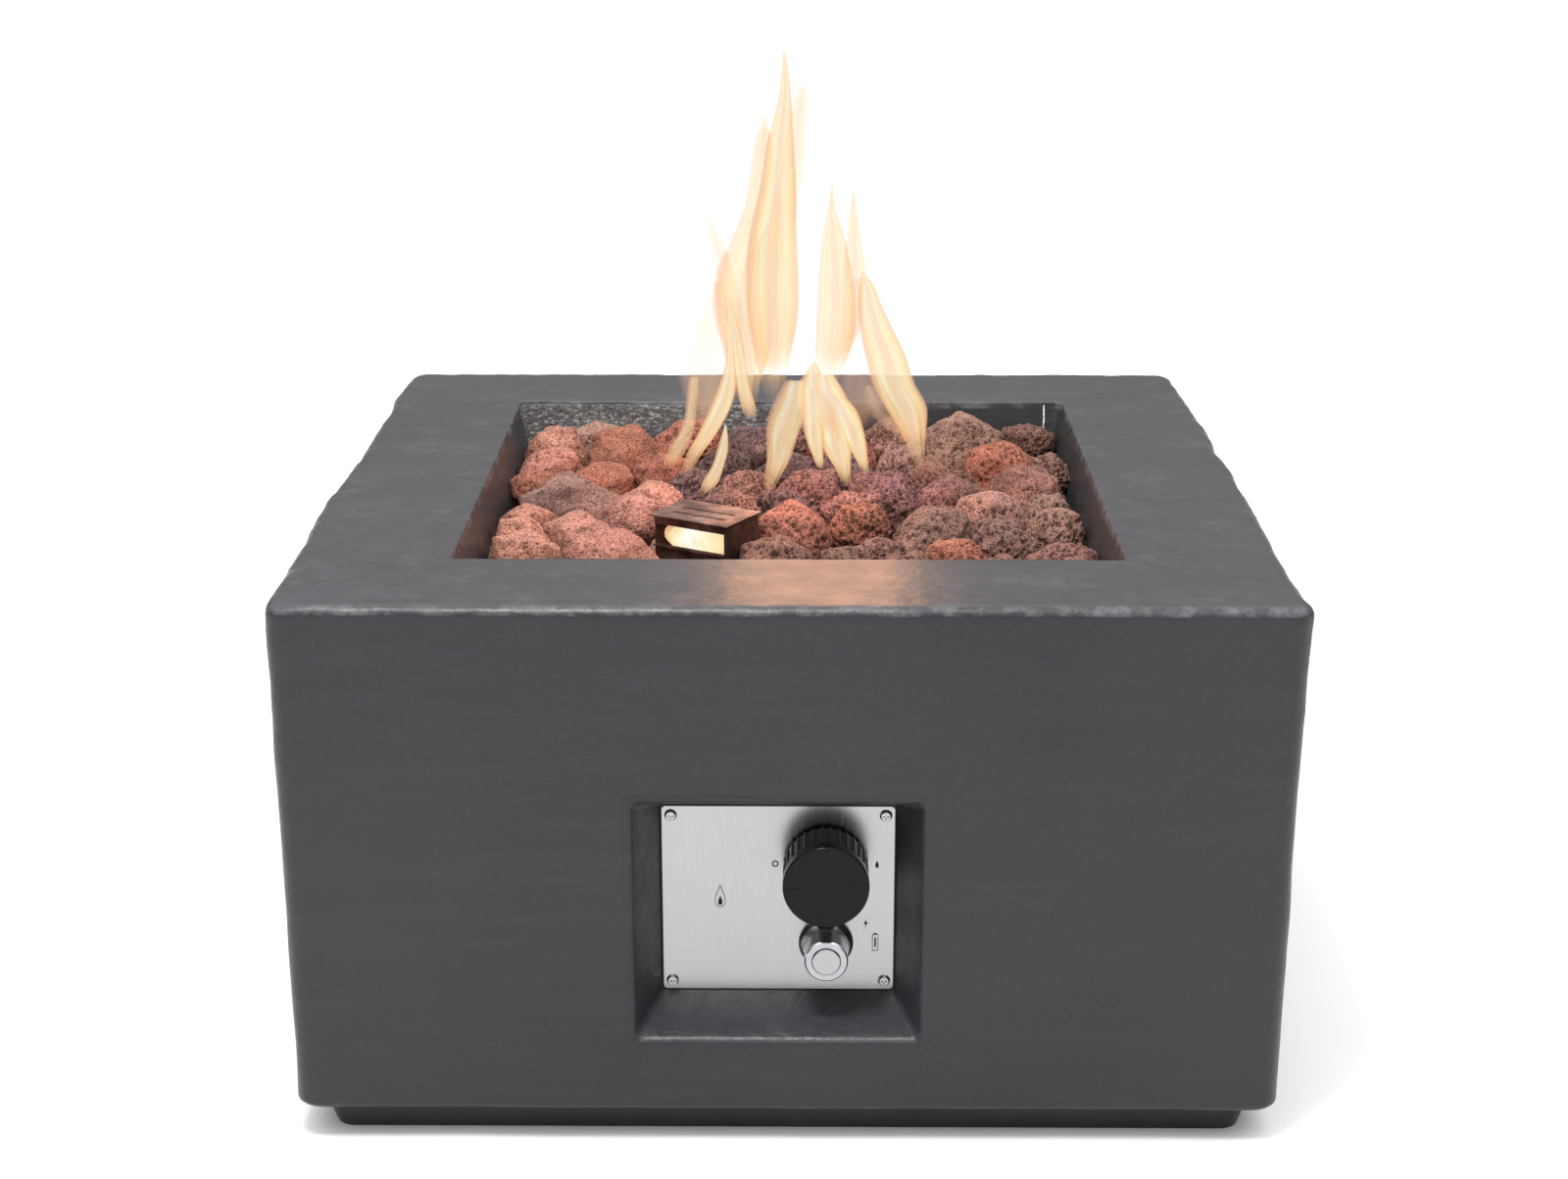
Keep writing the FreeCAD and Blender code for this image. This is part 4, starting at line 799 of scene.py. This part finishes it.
def rock_kind(middle, chance):
    """Tint, pore count and pore size of a rock by its place in the well."""
    x, y = middle[0], middle[1]
    draw = chance.uniform()
    if x < -0.095:
        tint = SALMON if draw < 0.6 else (TERRACOTTA if draw < 0.85 else ASH)
        return tint, 200, 0.0007, 0.0016
    if x < 0.09 and y > -0.10:
        tint = PLUM if draw < 0.5 else (BROWN if draw < 0.75 else TERRACOTTA)
        return tint, 950, 0.0008, 0.0026
    tint = TERRACOTTA if draw < 0.25 else (ASH if draw < 0.6 else BROWN)
    return tint, 800, 0.0008, 0.0024


def shaped_rock(corners, directions, chance, pore_share):
    """Points, tints and pits of one rock that fills the room of its CAD solid."""
    middle = corners.mean(axis=0)
    normals, distances = hull_planes(corners, middle)
    facing = np.clip(directions @ normals.T, 0, None) / distances
    sharpness = chance.uniform(14, 30)
    size = (facing ** sharpness).sum(axis=1) ** (-1 / sharpness)
    shift = chance.uniform(0, 9, 3)
    base = middle + directions * size[:, None] + shift
    size *= 1.045 + 0.085 * layered_noise(base, 34.0, 2)
    ridges = 1 - 2 * np.abs(solid_noise(base, 75.0))
    size += 0.0011 * ridges + 0.0009 * layered_noise(base, 210.0, 3)
    surface = middle + directions * size[:, None]
    tint, pore_count, small, large = rock_kind(middle, chance)
    depth, inside = pits(surface, chance, int(pore_count * pore_share), small, large)
    surface -= directions * depth[:, None]
    shade = tint * chance.uniform(0.84, 1.18) * (1 + chance.uniform(-0.06, 0.06, 3))
    mottle = 1 + 0.20 * layered_noise(base, 60.0, 3)
    colours = np.clip(shade[None, :] * mottle[:, None], 0.01, 0.9)
    return surface, colours, inside


def rock_pile(node, pore_share, seed):
    """Every rock of one CAD node as a detailed mesh."""
    rocks = rock_corners(node)
    directions, squares = cube_sphere(int(math.sqrt(ROCK_FACES / 12 / len(rocks))))
    chance = np.random.default_rng(seed)
    shaped = [shaped_rock(corners, directions, chance, pore_share) for corners in rocks]
    points = np.concatenate([rock[0] for rock in shaped])
    faces = np.concatenate([squares + number * len(directions) for number in range(len(rocks))])
    piece = mesh_object(node + "_detail", points.tolist(), faces.tolist())
    smooth(piece)
    mesh = piece.data
    rgba = np.ones((len(points), 4), np.float32)
    rgba[:, :3] = np.concatenate([rock[1] for rock in shaped])
    tints = mesh.attributes.new("rock_tint", "FLOAT_COLOR", "POINT")
    tints.data.foreach_set("color", rgba.ravel())
    pit_shade = mesh.attributes.new("rock_pit_shade", "FLOAT", "POINT")
    pit_shade.data.foreach_set("value", np.concatenate([rock[2] for rock in shaped]).astype(np.float32))
    mesh.update()
    return piece


def lava_rocks(material):
    """Detailed rocks in place of every CAD rock; the hidden ones have fewer pores."""
    for number, node in enumerate(sorted(name for name in nodes if name.startswith("lava_rocks"))):
        hidden = "fill" in node or node.endswith("_1")
        piece = rock_pile(node, HIDDEN_PORE_SHARE if hidden else 1.0, ROCK_SEED + number)
        face_outwards(piece)
        piece.data.materials.append(material)
        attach(piece, "root")
        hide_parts(node)


# ---------------- flames

# Each tongue: distance from the middle along Y, strength, and stations of height, left and right
FLAMES = {
    "tall_middle": (0.0, 0.95, [
        (0.739, -0.005, -0.004), (0.716, -0.006, -0.0015), (0.696, -0.009, -0.0005),
        (0.669, -0.015, 0.0), (0.638, -0.019, 0.001), (0.598, -0.027, 0.001), (0.559, -0.03, 0.002),
        (0.53, -0.028, 0.0015), (0.5, -0.024, -0.003), (0.48, -0.02, -0.006),
        (0.452, -0.013, -0.008)]),
    "tall_right": (0.004, 0.62, [
        (0.712, 0.0095, 0.012), (0.697, 0.0015, 0.0125), (0.677, -0.001, 0.0112),
        (0.657, -0.003, 0.0098), (0.637, -0.003, 0.0075), (0.618, -0.003, 0.005),
        (0.598, -0.003, 0.002), (0.578, -0.001, 0.0012)]),
    "tall_left": (0.008, 0.8, [
        (0.687, -0.0205, -0.0195), (0.673, -0.0245, -0.0165), (0.657, -0.028, -0.014),
        (0.638, -0.03, -0.012), (0.618, -0.033, -0.01), (0.588, -0.044, -0.01),
        (0.559, -0.054, -0.014), (0.53, -0.054, -0.018), (0.5, -0.048, -0.02),
        (0.48, -0.045, -0.026), (0.465, -0.04, -0.028), (0.448, -0.032, -0.029)]),
    "left_tip": (0.012, 0.55, [
        (0.608, -0.065, -0.0643), (0.588, -0.062, -0.053), (0.569, -0.059, -0.047),
        (0.549, -0.0565, -0.042), (0.52, -0.0515, -0.034), (0.49, -0.047, -0.03)]),
    "left_veil": (0.018, 0.42, [
        (0.557, -0.06, -0.055), (0.539, -0.072, -0.048), (0.52, -0.082, -0.046),
        (0.5, -0.086, -0.045), (0.48, -0.085, -0.046), (0.461, -0.081, -0.048),
        (0.445, -0.08, -0.056), (0.43, -0.077, -0.065)]),
    "left_lick": (0.016, 0.6, [
        (0.48, -0.08, -0.074), (0.441, -0.0855, -0.078), (0.421, -0.097, -0.085),
        (0.402, -0.1025, -0.0975)]),
    "bright_lick": (-0.012, 0.95, [
        (0.53, -0.05, -0.047), (0.502, -0.049, -0.045), (0.48, -0.054, -0.0445),
        (0.461, -0.061, -0.0495), (0.441, -0.0705, -0.06), (0.421, -0.0815, -0.0735),
        (0.402, -0.087, -0.0825)]),
    "yellow_curl": (-0.006, 0.92, [
        (0.549, -0.05, -0.048), (0.52, -0.047, -0.04), (0.5, -0.044, -0.037),
        (0.48, -0.041, -0.034), (0.461, -0.037, -0.029), (0.449, -0.033, -0.0285)]),
    "small_lick": (-0.02, 0.85, [
        (0.449, -0.051, -0.0505), (0.431, -0.056, -0.05), (0.417, -0.06, -0.0535),
        (0.402, -0.068, -0.059), (0.392, -0.0705, -0.067)]),
    "middle_column": (-0.016, 0.8, [
        (0.485, -0.001, 0.01), (0.47, -0.008, 0.0125), (0.455, -0.0135, 0.009),
        (0.441, -0.0155, 0.004), (0.421, -0.016, -0.002), (0.406, -0.0185, -0.009),
        (0.391, -0.0205, -0.016)]),
    "white_heart": (-0.014, 1.0, [
        (0.499, 0.0188, 0.0194), (0.488, 0.013, 0.024), (0.48, 0.0105, 0.031), (0.47, 0.011, 0.04),
        (0.461, 0.013, 0.046), (0.45, 0.017, 0.049), (0.438, 0.023, 0.048)]),
    "heart_left": (-0.018, 0.95, [
        (0.48, 0.011, 0.022), (0.461, 0.012, 0.024), (0.441, 0.014, 0.024), (0.421, 0.0205, 0.0255),
        (0.412, 0.0235, 0.0255)]),
    "heart_middle": (-0.016, 0.98, [
        (0.49, 0.0225, 0.032), (0.47, 0.0225, 0.042), (0.451, 0.0245, 0.044), (0.431, 0.029, 0.046),
        (0.411, 0.039, 0.0468), (0.396, 0.044, 0.049)]),
    "heart_right": (-0.018, 0.98, [
        (0.474, 0.032, 0.038), (0.461, 0.034, 0.05), (0.441, 0.044, 0.057), (0.421, 0.054, 0.0605),
        (0.407, 0.0605, 0.063)]),
    "right_tip": (0.006, 0.78, [
        (0.637, 0.0326, 0.0332), (0.618, 0.0303, 0.0343), (0.598, 0.0268, 0.04),
        (0.578, 0.0255, 0.044), (0.559, 0.0245, 0.0468), (0.539, 0.024, 0.0488),
        (0.52, 0.0232, 0.048), (0.5, 0.0222, 0.044), (0.48, 0.0225, 0.036),
        (0.466, 0.0255, 0.034)]),
    "right_twin": (0.01, 0.7, [
        (0.631, 0.0494, 0.05), (0.618, 0.0475, 0.0514), (0.598, 0.0456, 0.054),
        (0.584, 0.045, 0.056), (0.569, 0.044, 0.058), (0.549, 0.044, 0.056), (0.52, 0.042, 0.0536),
        (0.5, 0.0385, 0.045), (0.48, 0.033, 0.0385)]),
    "right_slope": (-0.004, 0.95, [
        (0.569, 0.0572, 0.058), (0.557, 0.056, 0.0645), (0.539, 0.0565, 0.0712),
        (0.52, 0.0595, 0.08), (0.5, 0.0645, 0.0888), (0.48, 0.07, 0.0946), (0.461, 0.08, 0.1045),
        (0.441, 0.0907, 0.106), (0.421, 0.0985, 0.106), (0.402, 0.103, 0.1055)]),
    "right_curl": (0.014, 0.35, [
        (0.474, 0.06, 0.065), (0.461, 0.061, 0.075), (0.449, 0.067, 0.085), (0.437, 0.081, 0.093),
        (0.425, 0.09, 0.098)]),
    "grey_veil": (0.02, 0.3, [
        (0.56, 0.05, 0.056), (0.53, 0.046, 0.06), (0.5, 0.043, 0.068), (0.47, 0.04, 0.072),
        (0.45, 0.042, 0.069), (0.43, 0.044, 0.06)]),
}
# Each tongue's sheets: name, turn in degrees and share of the tongue's strength
FLAME_SHEETS = (("front", 0, 1.0), ("left", 58, 0.40), ("right", -58, 0.40))
PILOT_TURN, PILOT_DEPTH, PILOT_STRENGTH = -30.6, -0.104, 1.15
PILOT_FLAME = [(0.3945, -0.0800, -0.0560), (0.3860, -0.0900, -0.0480), (0.3780, -0.0920, -0.0470),
               (0.3700, -0.0860, -0.0520), (0.3620, -0.0800, -0.0600)]
FLAME_ROWS, FLAME_COLUMNS = 48, 14
FLAME_SPREAD, FLAME_LEAST_HALF, FLAME_BULGE = 1.38, 0.0006, 0.35


def eased(stations, share):
    """Smoothly interpolated station at a share of the way down a tongue."""
    place = share * (len(stations) - 1)
    index = min(int(place), len(stations) - 2)
    part = place - index
    rows = [stations[max(index - 1, 0)], stations[index], stations[index + 1],
            stations[min(index + 2, len(stations) - 1)]]
    return [0.5 * (2 * b + (c - a) * part + (2 * a - 5 * b + 4 * c - d) * part ** 2
                   + (3 * b - a - 3 * c + d) * part ** 3) for a, b, c, d in zip(*rows)]


def flame_sheet(name, turn, depth, strength, stations, material):
    """One curved sheet of flame, turned about the tongue's own middle line."""
    points, faces, flow = [], [], []
    for row in range(FLAME_ROWS + 1):
        z, left, right = eased(stations, row / FLAME_ROWS)
        middle, half = (left + right) / 2, (right - left) / 2 * FLAME_SPREAD + FLAME_LEAST_HALF
        for column in range(FLAME_COLUMNS + 1):
            across = 2 * column / FLAME_COLUMNS - 1
            bulge = (1 - across ** 2) * half * FLAME_BULGE
            x = middle + half * across * math.cos(turn) + bulge * math.sin(turn)
            y = depth + half * across * math.sin(turn) - bulge * math.cos(turn)
            points.append((x, y, z))
            flow.append((across * 0.5 + 0.5, row / FLAME_ROWS))
    wide = FLAME_COLUMNS + 1
    for row in range(FLAME_ROWS):
        for column in range(FLAME_COLUMNS):
            corner = row * wide + column
            faces.append((corner, corner + 1, corner + wide + 1, corner + wide))
    sheet = mesh_object(name, points, faces)
    smooth(sheet)
    uv = sheet.data.uv_layers.new(name="flow")
    for loop in sheet.data.loops:
        uv.data[loop.index].uv = flow[loop.vertex_index]
    share = sheet.data.attributes.new("strength", "FLOAT", "POINT")
    share.data.foreach_set("value", [strength] * len(points))
    sheet.data.materials.append(material)
    sheet.visible_shadow = False
    sheet.visible_glossy = False
    sheet.visible_diffuse = False


def flame_light():
    """Pale yellow fire: bright inside, thin and pink at the edges, clear at tip and foot."""
    material, _ = new_material("fire")
    tree = material.node_tree
    tree.nodes.remove(tree.nodes["Principled BSDF"])
    flow = add(material, "UVMap", uv_map="flow").outputs[0]
    across, along, _ = separate(flow)
    strength = add(material, "Attribute", attribute_name="strength").outputs["Fac"]
    side = sums("ABSOLUTE", sums("MULTIPLY_ADD", across, 2.0, -1.0), None)
    streaks = grain(stretched(flow, (2.4, 0.9, 1.0)), 1.6, 2.0, 0.5, 0.5)
    firm = sums("MULTIPLY_ADD", strength, 0.5, 0.40)
    rim = fade(side, 1.0, firm)
    tip = band(along, 0.08, 0.72, 0.26)
    wash = ramp(streaks, [(0.30, 0.76), (0.62, 1.0)])
    heat = times(sums("SUBTRACT", 1.15, side),
                 sums("MULTIPLY_ADD", streaks, 1.1, 0.10), strength)
    foot = band(along, 0.95, 1.5, 0.40)
    colour = ramp(heat, [(0.05, (0.62, 0.42, 0.40)), (0.17, (0.94, 0.52, 0.28)),
                         (0.33, (1.00, 0.78, 0.44)), (0.53, (1.00, 0.93, 0.62)),
                         (0.80, (1.00, 1.00, 0.92))])
    thin = ramp(heat, [(0.02, 0.74), (0.30, 1.0)])
    solid = times(rim, tip, strength, wash, thin)
    colour = mixed(times(foot, 0.6), colour, (1.0, 0.48, 0.16))
    glow = add(material, "Emission", {"Color": colour, "Strength": 1.0}).outputs[0]
    clear = add(material, "BsdfTransparent").outputs[0]
    final = add(material, "MixShader", {0: solid, 1: clear, 2: glow}).outputs[0]
    join(final, tree.nodes["Material Output"].inputs["Surface"])
    return material


def flames():
    """Every tongue as a sheet towards the front and two fainter ones across it."""
    material = flame_light()
    for name, (depth, strength, stations) in FLAMES.items():
        for side, angle, share in FLAME_SHEETS:
            flame_sheet(f"flame_{name}_{side}", math.radians(angle), depth, strength * share,
                        stations, material)
    flame_sheet("flame_pilot", math.radians(PILOT_TURN), PILOT_DEPTH, PILOT_STRENGTH, PILOT_FLAME,
                material)


# ---------------- springs

COIL_STEPS, WIRE_SIDES = 40, 12


def coil_spring(node, rider, turns, wire, material):
    """Coil that fills the place of a CAD spring and moves with its rider body."""
    low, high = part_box(node)
    x, z = (low.x + high.x) / 2, (low.z + high.z) / 2
    radius = (high.x - low.x) / 2 - wire
    front, back = low.y + wire, high.y - wire
    steps = int(turns * COIL_STEPS)
    pitch = (back - front) / (2 * math.pi * turns)
    points = []
    for step in range(steps + 1):
        share = step / steps
        angle = 2 * math.pi * turns * share
        outward = Vector((math.cos(angle), 0, math.sin(angle)))
        along = Vector((-radius * math.sin(angle), pitch, radius * math.cos(angle))).normalized()
        middle = Vector((x, front + (back - front) * share, z)) + outward * radius
        upward = along.cross(outward)
        taper = min(1.0, 0.35 + 8 * min(share, 1 - share))
        for side in range(WIRE_SIDES):
            turn = 2 * math.pi * side / WIRE_SIDES
            reach = outward * math.cos(turn) + upward * math.sin(turn)
            points.append(middle + reach * wire * taper)
    faces = bridged(WIRE_SIDES, steps + 1) + end_faces(WIRE_SIDES, steps + 1)
    coil = mesh_object(node + "_coil", points, faces)
    face_outwards(coil)
    smooth_by_angle(coil, 50)
    coil.data.materials.append(material)
    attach(coil, rider)
    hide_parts(node)
    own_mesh(coil)


# ---------------- printed marks

MARK_THICKNESS, MARK_LIFT = 0.00004, 0.00003


def printed_mark(name, loops, material):
    """Thin printed shape on the panel from closed outlines of X and Z in metres."""
    curve = bpy.data.curves.new(name, "CURVE")
    curve.dimensions = "2D"
    curve.fill_mode = "BOTH"
    curve.extrude = MARK_THICKNESS
    for loop in loops:
        spline = curve.splines.new("POLY")
        spline.points.add(len(loop) - 1)
        for point, (x, z) in zip(spline.points, loop):
            point.co = (x, z, 0, 1)
        spline.use_cyclic_u = True
    mark = bpy.data.objects.new(name, curve)
    mark.location = (0, panel_low.y - MARK_LIFT, 0)
    mark.rotation_euler = (math.pi / 2, 0, 0)
    bpy.context.scene.collection.objects.link(mark)
    curve.materials.append(material)
    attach(mark, "root")


def circle(x, z, radius, count=40):
    """Points round a circle."""
    return [(x + radius * math.cos(2 * math.pi * step / count),
             z + radius * math.sin(2 * math.pi * step / count)) for step in range(count)]


def rectangle(left, low, right, high):
    """Corners of an upright rectangle."""
    return [(left, low), (right, low), (right, high), (left, high)]


def drop(x, z, size, count=48):
    """Outline of a plain flame drop."""
    points = []
    for step in range(count):
        angle = 2 * math.pi * step / count
        narrow = math.sin(angle / 2) ** 1.6
        points.append((x + size * 0.62 * math.sin(angle) * narrow, z + size * math.cos(angle)))
    return points


def printed_marks(material):
    """Generic signs beside the knob and the igniter."""
    printed_mark("mark_off", [circle(-0.0085, 0.199, 0.0025), circle(-0.0085, 0.199, 0.0015)],
                 material)
    printed_mark("mark_high", [drop(0.0642, 0.199, 0.0030)], material)
    bolt = [(0.0572, 0.1565), (0.0550, 0.1522), (0.0564, 0.1522), (0.0556, 0.1488),
            (0.0582, 0.1534), (0.0567, 0.1534)]
    printed_mark("mark_spark", [bolt], material)
    case = [(0.0612, 0.1310), (0.0658, 0.1310), (0.0658, 0.1440), (0.0645, 0.1440),
            (0.0645, 0.1450), (0.0625, 0.1450), (0.0625, 0.1440), (0.0612, 0.1440)]
    space = rectangle(0.0617, 0.1315, 0.0653, 0.1435)
    pole = rectangle(0.0629, 0.1340, 0.0641, 0.1415)
    printed_mark("mark_battery", [case, space, pole], material)
    printed_mark("mark_flame_outer", [drop(-0.0480, 0.1740, 0.0090), drop(-0.0480, 0.1735, 0.0080)],
                 material)
    printed_mark("mark_flame_inner", [drop(-0.0480, 0.1705, 0.0038)], material)


# ---------------- stage, camera and light

def stage_floor():
    """Plain pale floor."""
    floor = mesh_object("floor", [(-40, -40, 0), (40, -40, 0), (40, 40, 0), (-40, 40, 0)],
                        [(0, 1, 2, 3)])
    material, shader = new_material("pale_floor")
    place = place_of(material)
    colour = ramp(grain(place, 3.0, 3.0), [(0.3, 0.68), (0.7, 0.70)])
    join(colour, shader.inputs["Base Color"])
    shader.inputs["Roughness"].default_value = 0.8
    floor.data.materials.append(material)


def studio():
    """Camera, pale surroundings and soft lights."""
    scene = bpy.context.scene
    camera = bpy.data.objects.new("camera", bpy.data.cameras.new("camera"))
    camera.data.lens = CAMERA_LENS
    camera.data.sensor_width = CAMERA_SENSOR
    camera.location = CAMERA_PLACE
    camera.rotation_euler = (math.pi / 2 - CAMERA_PITCH, 0, CAMERA_YAW)
    scene.collection.objects.link(camera)
    scene.camera = camera
    scene.view_settings.view_transform = "Standard"
    scene.view_settings.look = "None"
    scene.cycles.transparent_max_bounces = 40
    scene.world = surroundings()
    edge_light()
    fire_lights()


def surroundings():
    """White backdrop; it lights the object from above more than from the sides."""
    world = bpy.data.worlds.new("studio")
    world.use_nodes = True
    place = add(world, "TexCoord").outputs["Generated"]
    height = separate(place)[2]
    above = fade(height, 0.25, 0.9, AMBIENT, OVERHEAD)
    seen = add(world, "LightPath").outputs["Is Camera Ray"]
    level = add(world, "Mix", {0: seen, 2: above, 3: 1.05}, data_type="FLOAT").outputs[0]
    backdrop = world.node_tree.nodes["Background"]
    backdrop.inputs["Color"].default_value = (1.0, 1.0, 1.0, 1)
    join(level, backdrop.inputs["Strength"])
    return world


def fire_lights():
    """Warm light that the fire throws on the rocks, its gloss on the rim, and the pilot's glow."""
    warm, violet = (1.0, 0.55, 0.25), (0.42, 0.30, 1.0)
    bulb("fire_low", (0.02, -0.02, 0.445), 0.45, 0.05, warm)
    bulb("fire_high", (-0.01, 0.0, 0.56), 0.7, 0.07, warm)
    bulb("violet_left", (-0.075, 0.0, 0.404), 0.030, 0.012, violet)
    bulb("violet_middle", (0.02, -0.02, 0.410), 0.045, 0.012, violet)
    bulb("violet_right", (0.095, 0.03, 0.408), 0.040, 0.012, violet)
    bulb("pilot", (-0.0696, -0.104, 0.378), 0.06, 0.006, warm)
    sheen = light("fire_sheen", "AREA", (0.022, 0.05, 0.60), 0.72, (1.0, 0.46, 0.22))
    sheen.data.shape = "RECTANGLE"
    sheen.data.size, sheen.data.size_y = 0.15, 0.34
    sheen.rotation_euler = (-math.pi / 2, 0, 0)
    sheen.visible_camera = False
    sheen.visible_diffuse = False


def light(name, kind, place, power, colour):
    """New light at a place."""
    made = bpy.data.objects.new(name, bpy.data.lights.new(name, kind))
    made.data.energy = power
    made.data.color = colour
    made.location = place
    bpy.context.scene.collection.objects.link(made)
    return made


def bulb(name, place, power, radius, colour):
    """Small round light that shows in no reflection."""
    made = light(name, "POINT", place, power, colour)
    made.data.shadow_soft_size = radius
    made.visible_camera = False
    made.visible_glossy = False


def edge_light():
    """Square light over the front edge."""
    made = light("edge_light", "AREA", (-0.30, -0.92, 2.1), 32.0, (1.0, 1.0, 1.0))
    made.data.size = 0.40
    aim = Vector((-0.2, -0.3, 0.4)) - made.location
    made.rotation_euler = aim.to_track_quat("-Z", "Y").to_euler()


finishes = dress_cad_nodes()
body = stone_body()
body.data.materials.clear()
body.data.materials.append(finishes["stone_paint"])
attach(body, "root")
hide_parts("stone_shell")
lava_rocks(finishes["lava"])
coil_spring("stem_spring", "root", 3, 0.0006, finishes["zinc_steel"])
coil_spring("battery_spring", "battery_cap", 3, 0.0004,
            finishes["zinc_steel"])
printed_marks(finishes["knob_black"])
flames()
stage_floor()
studio()
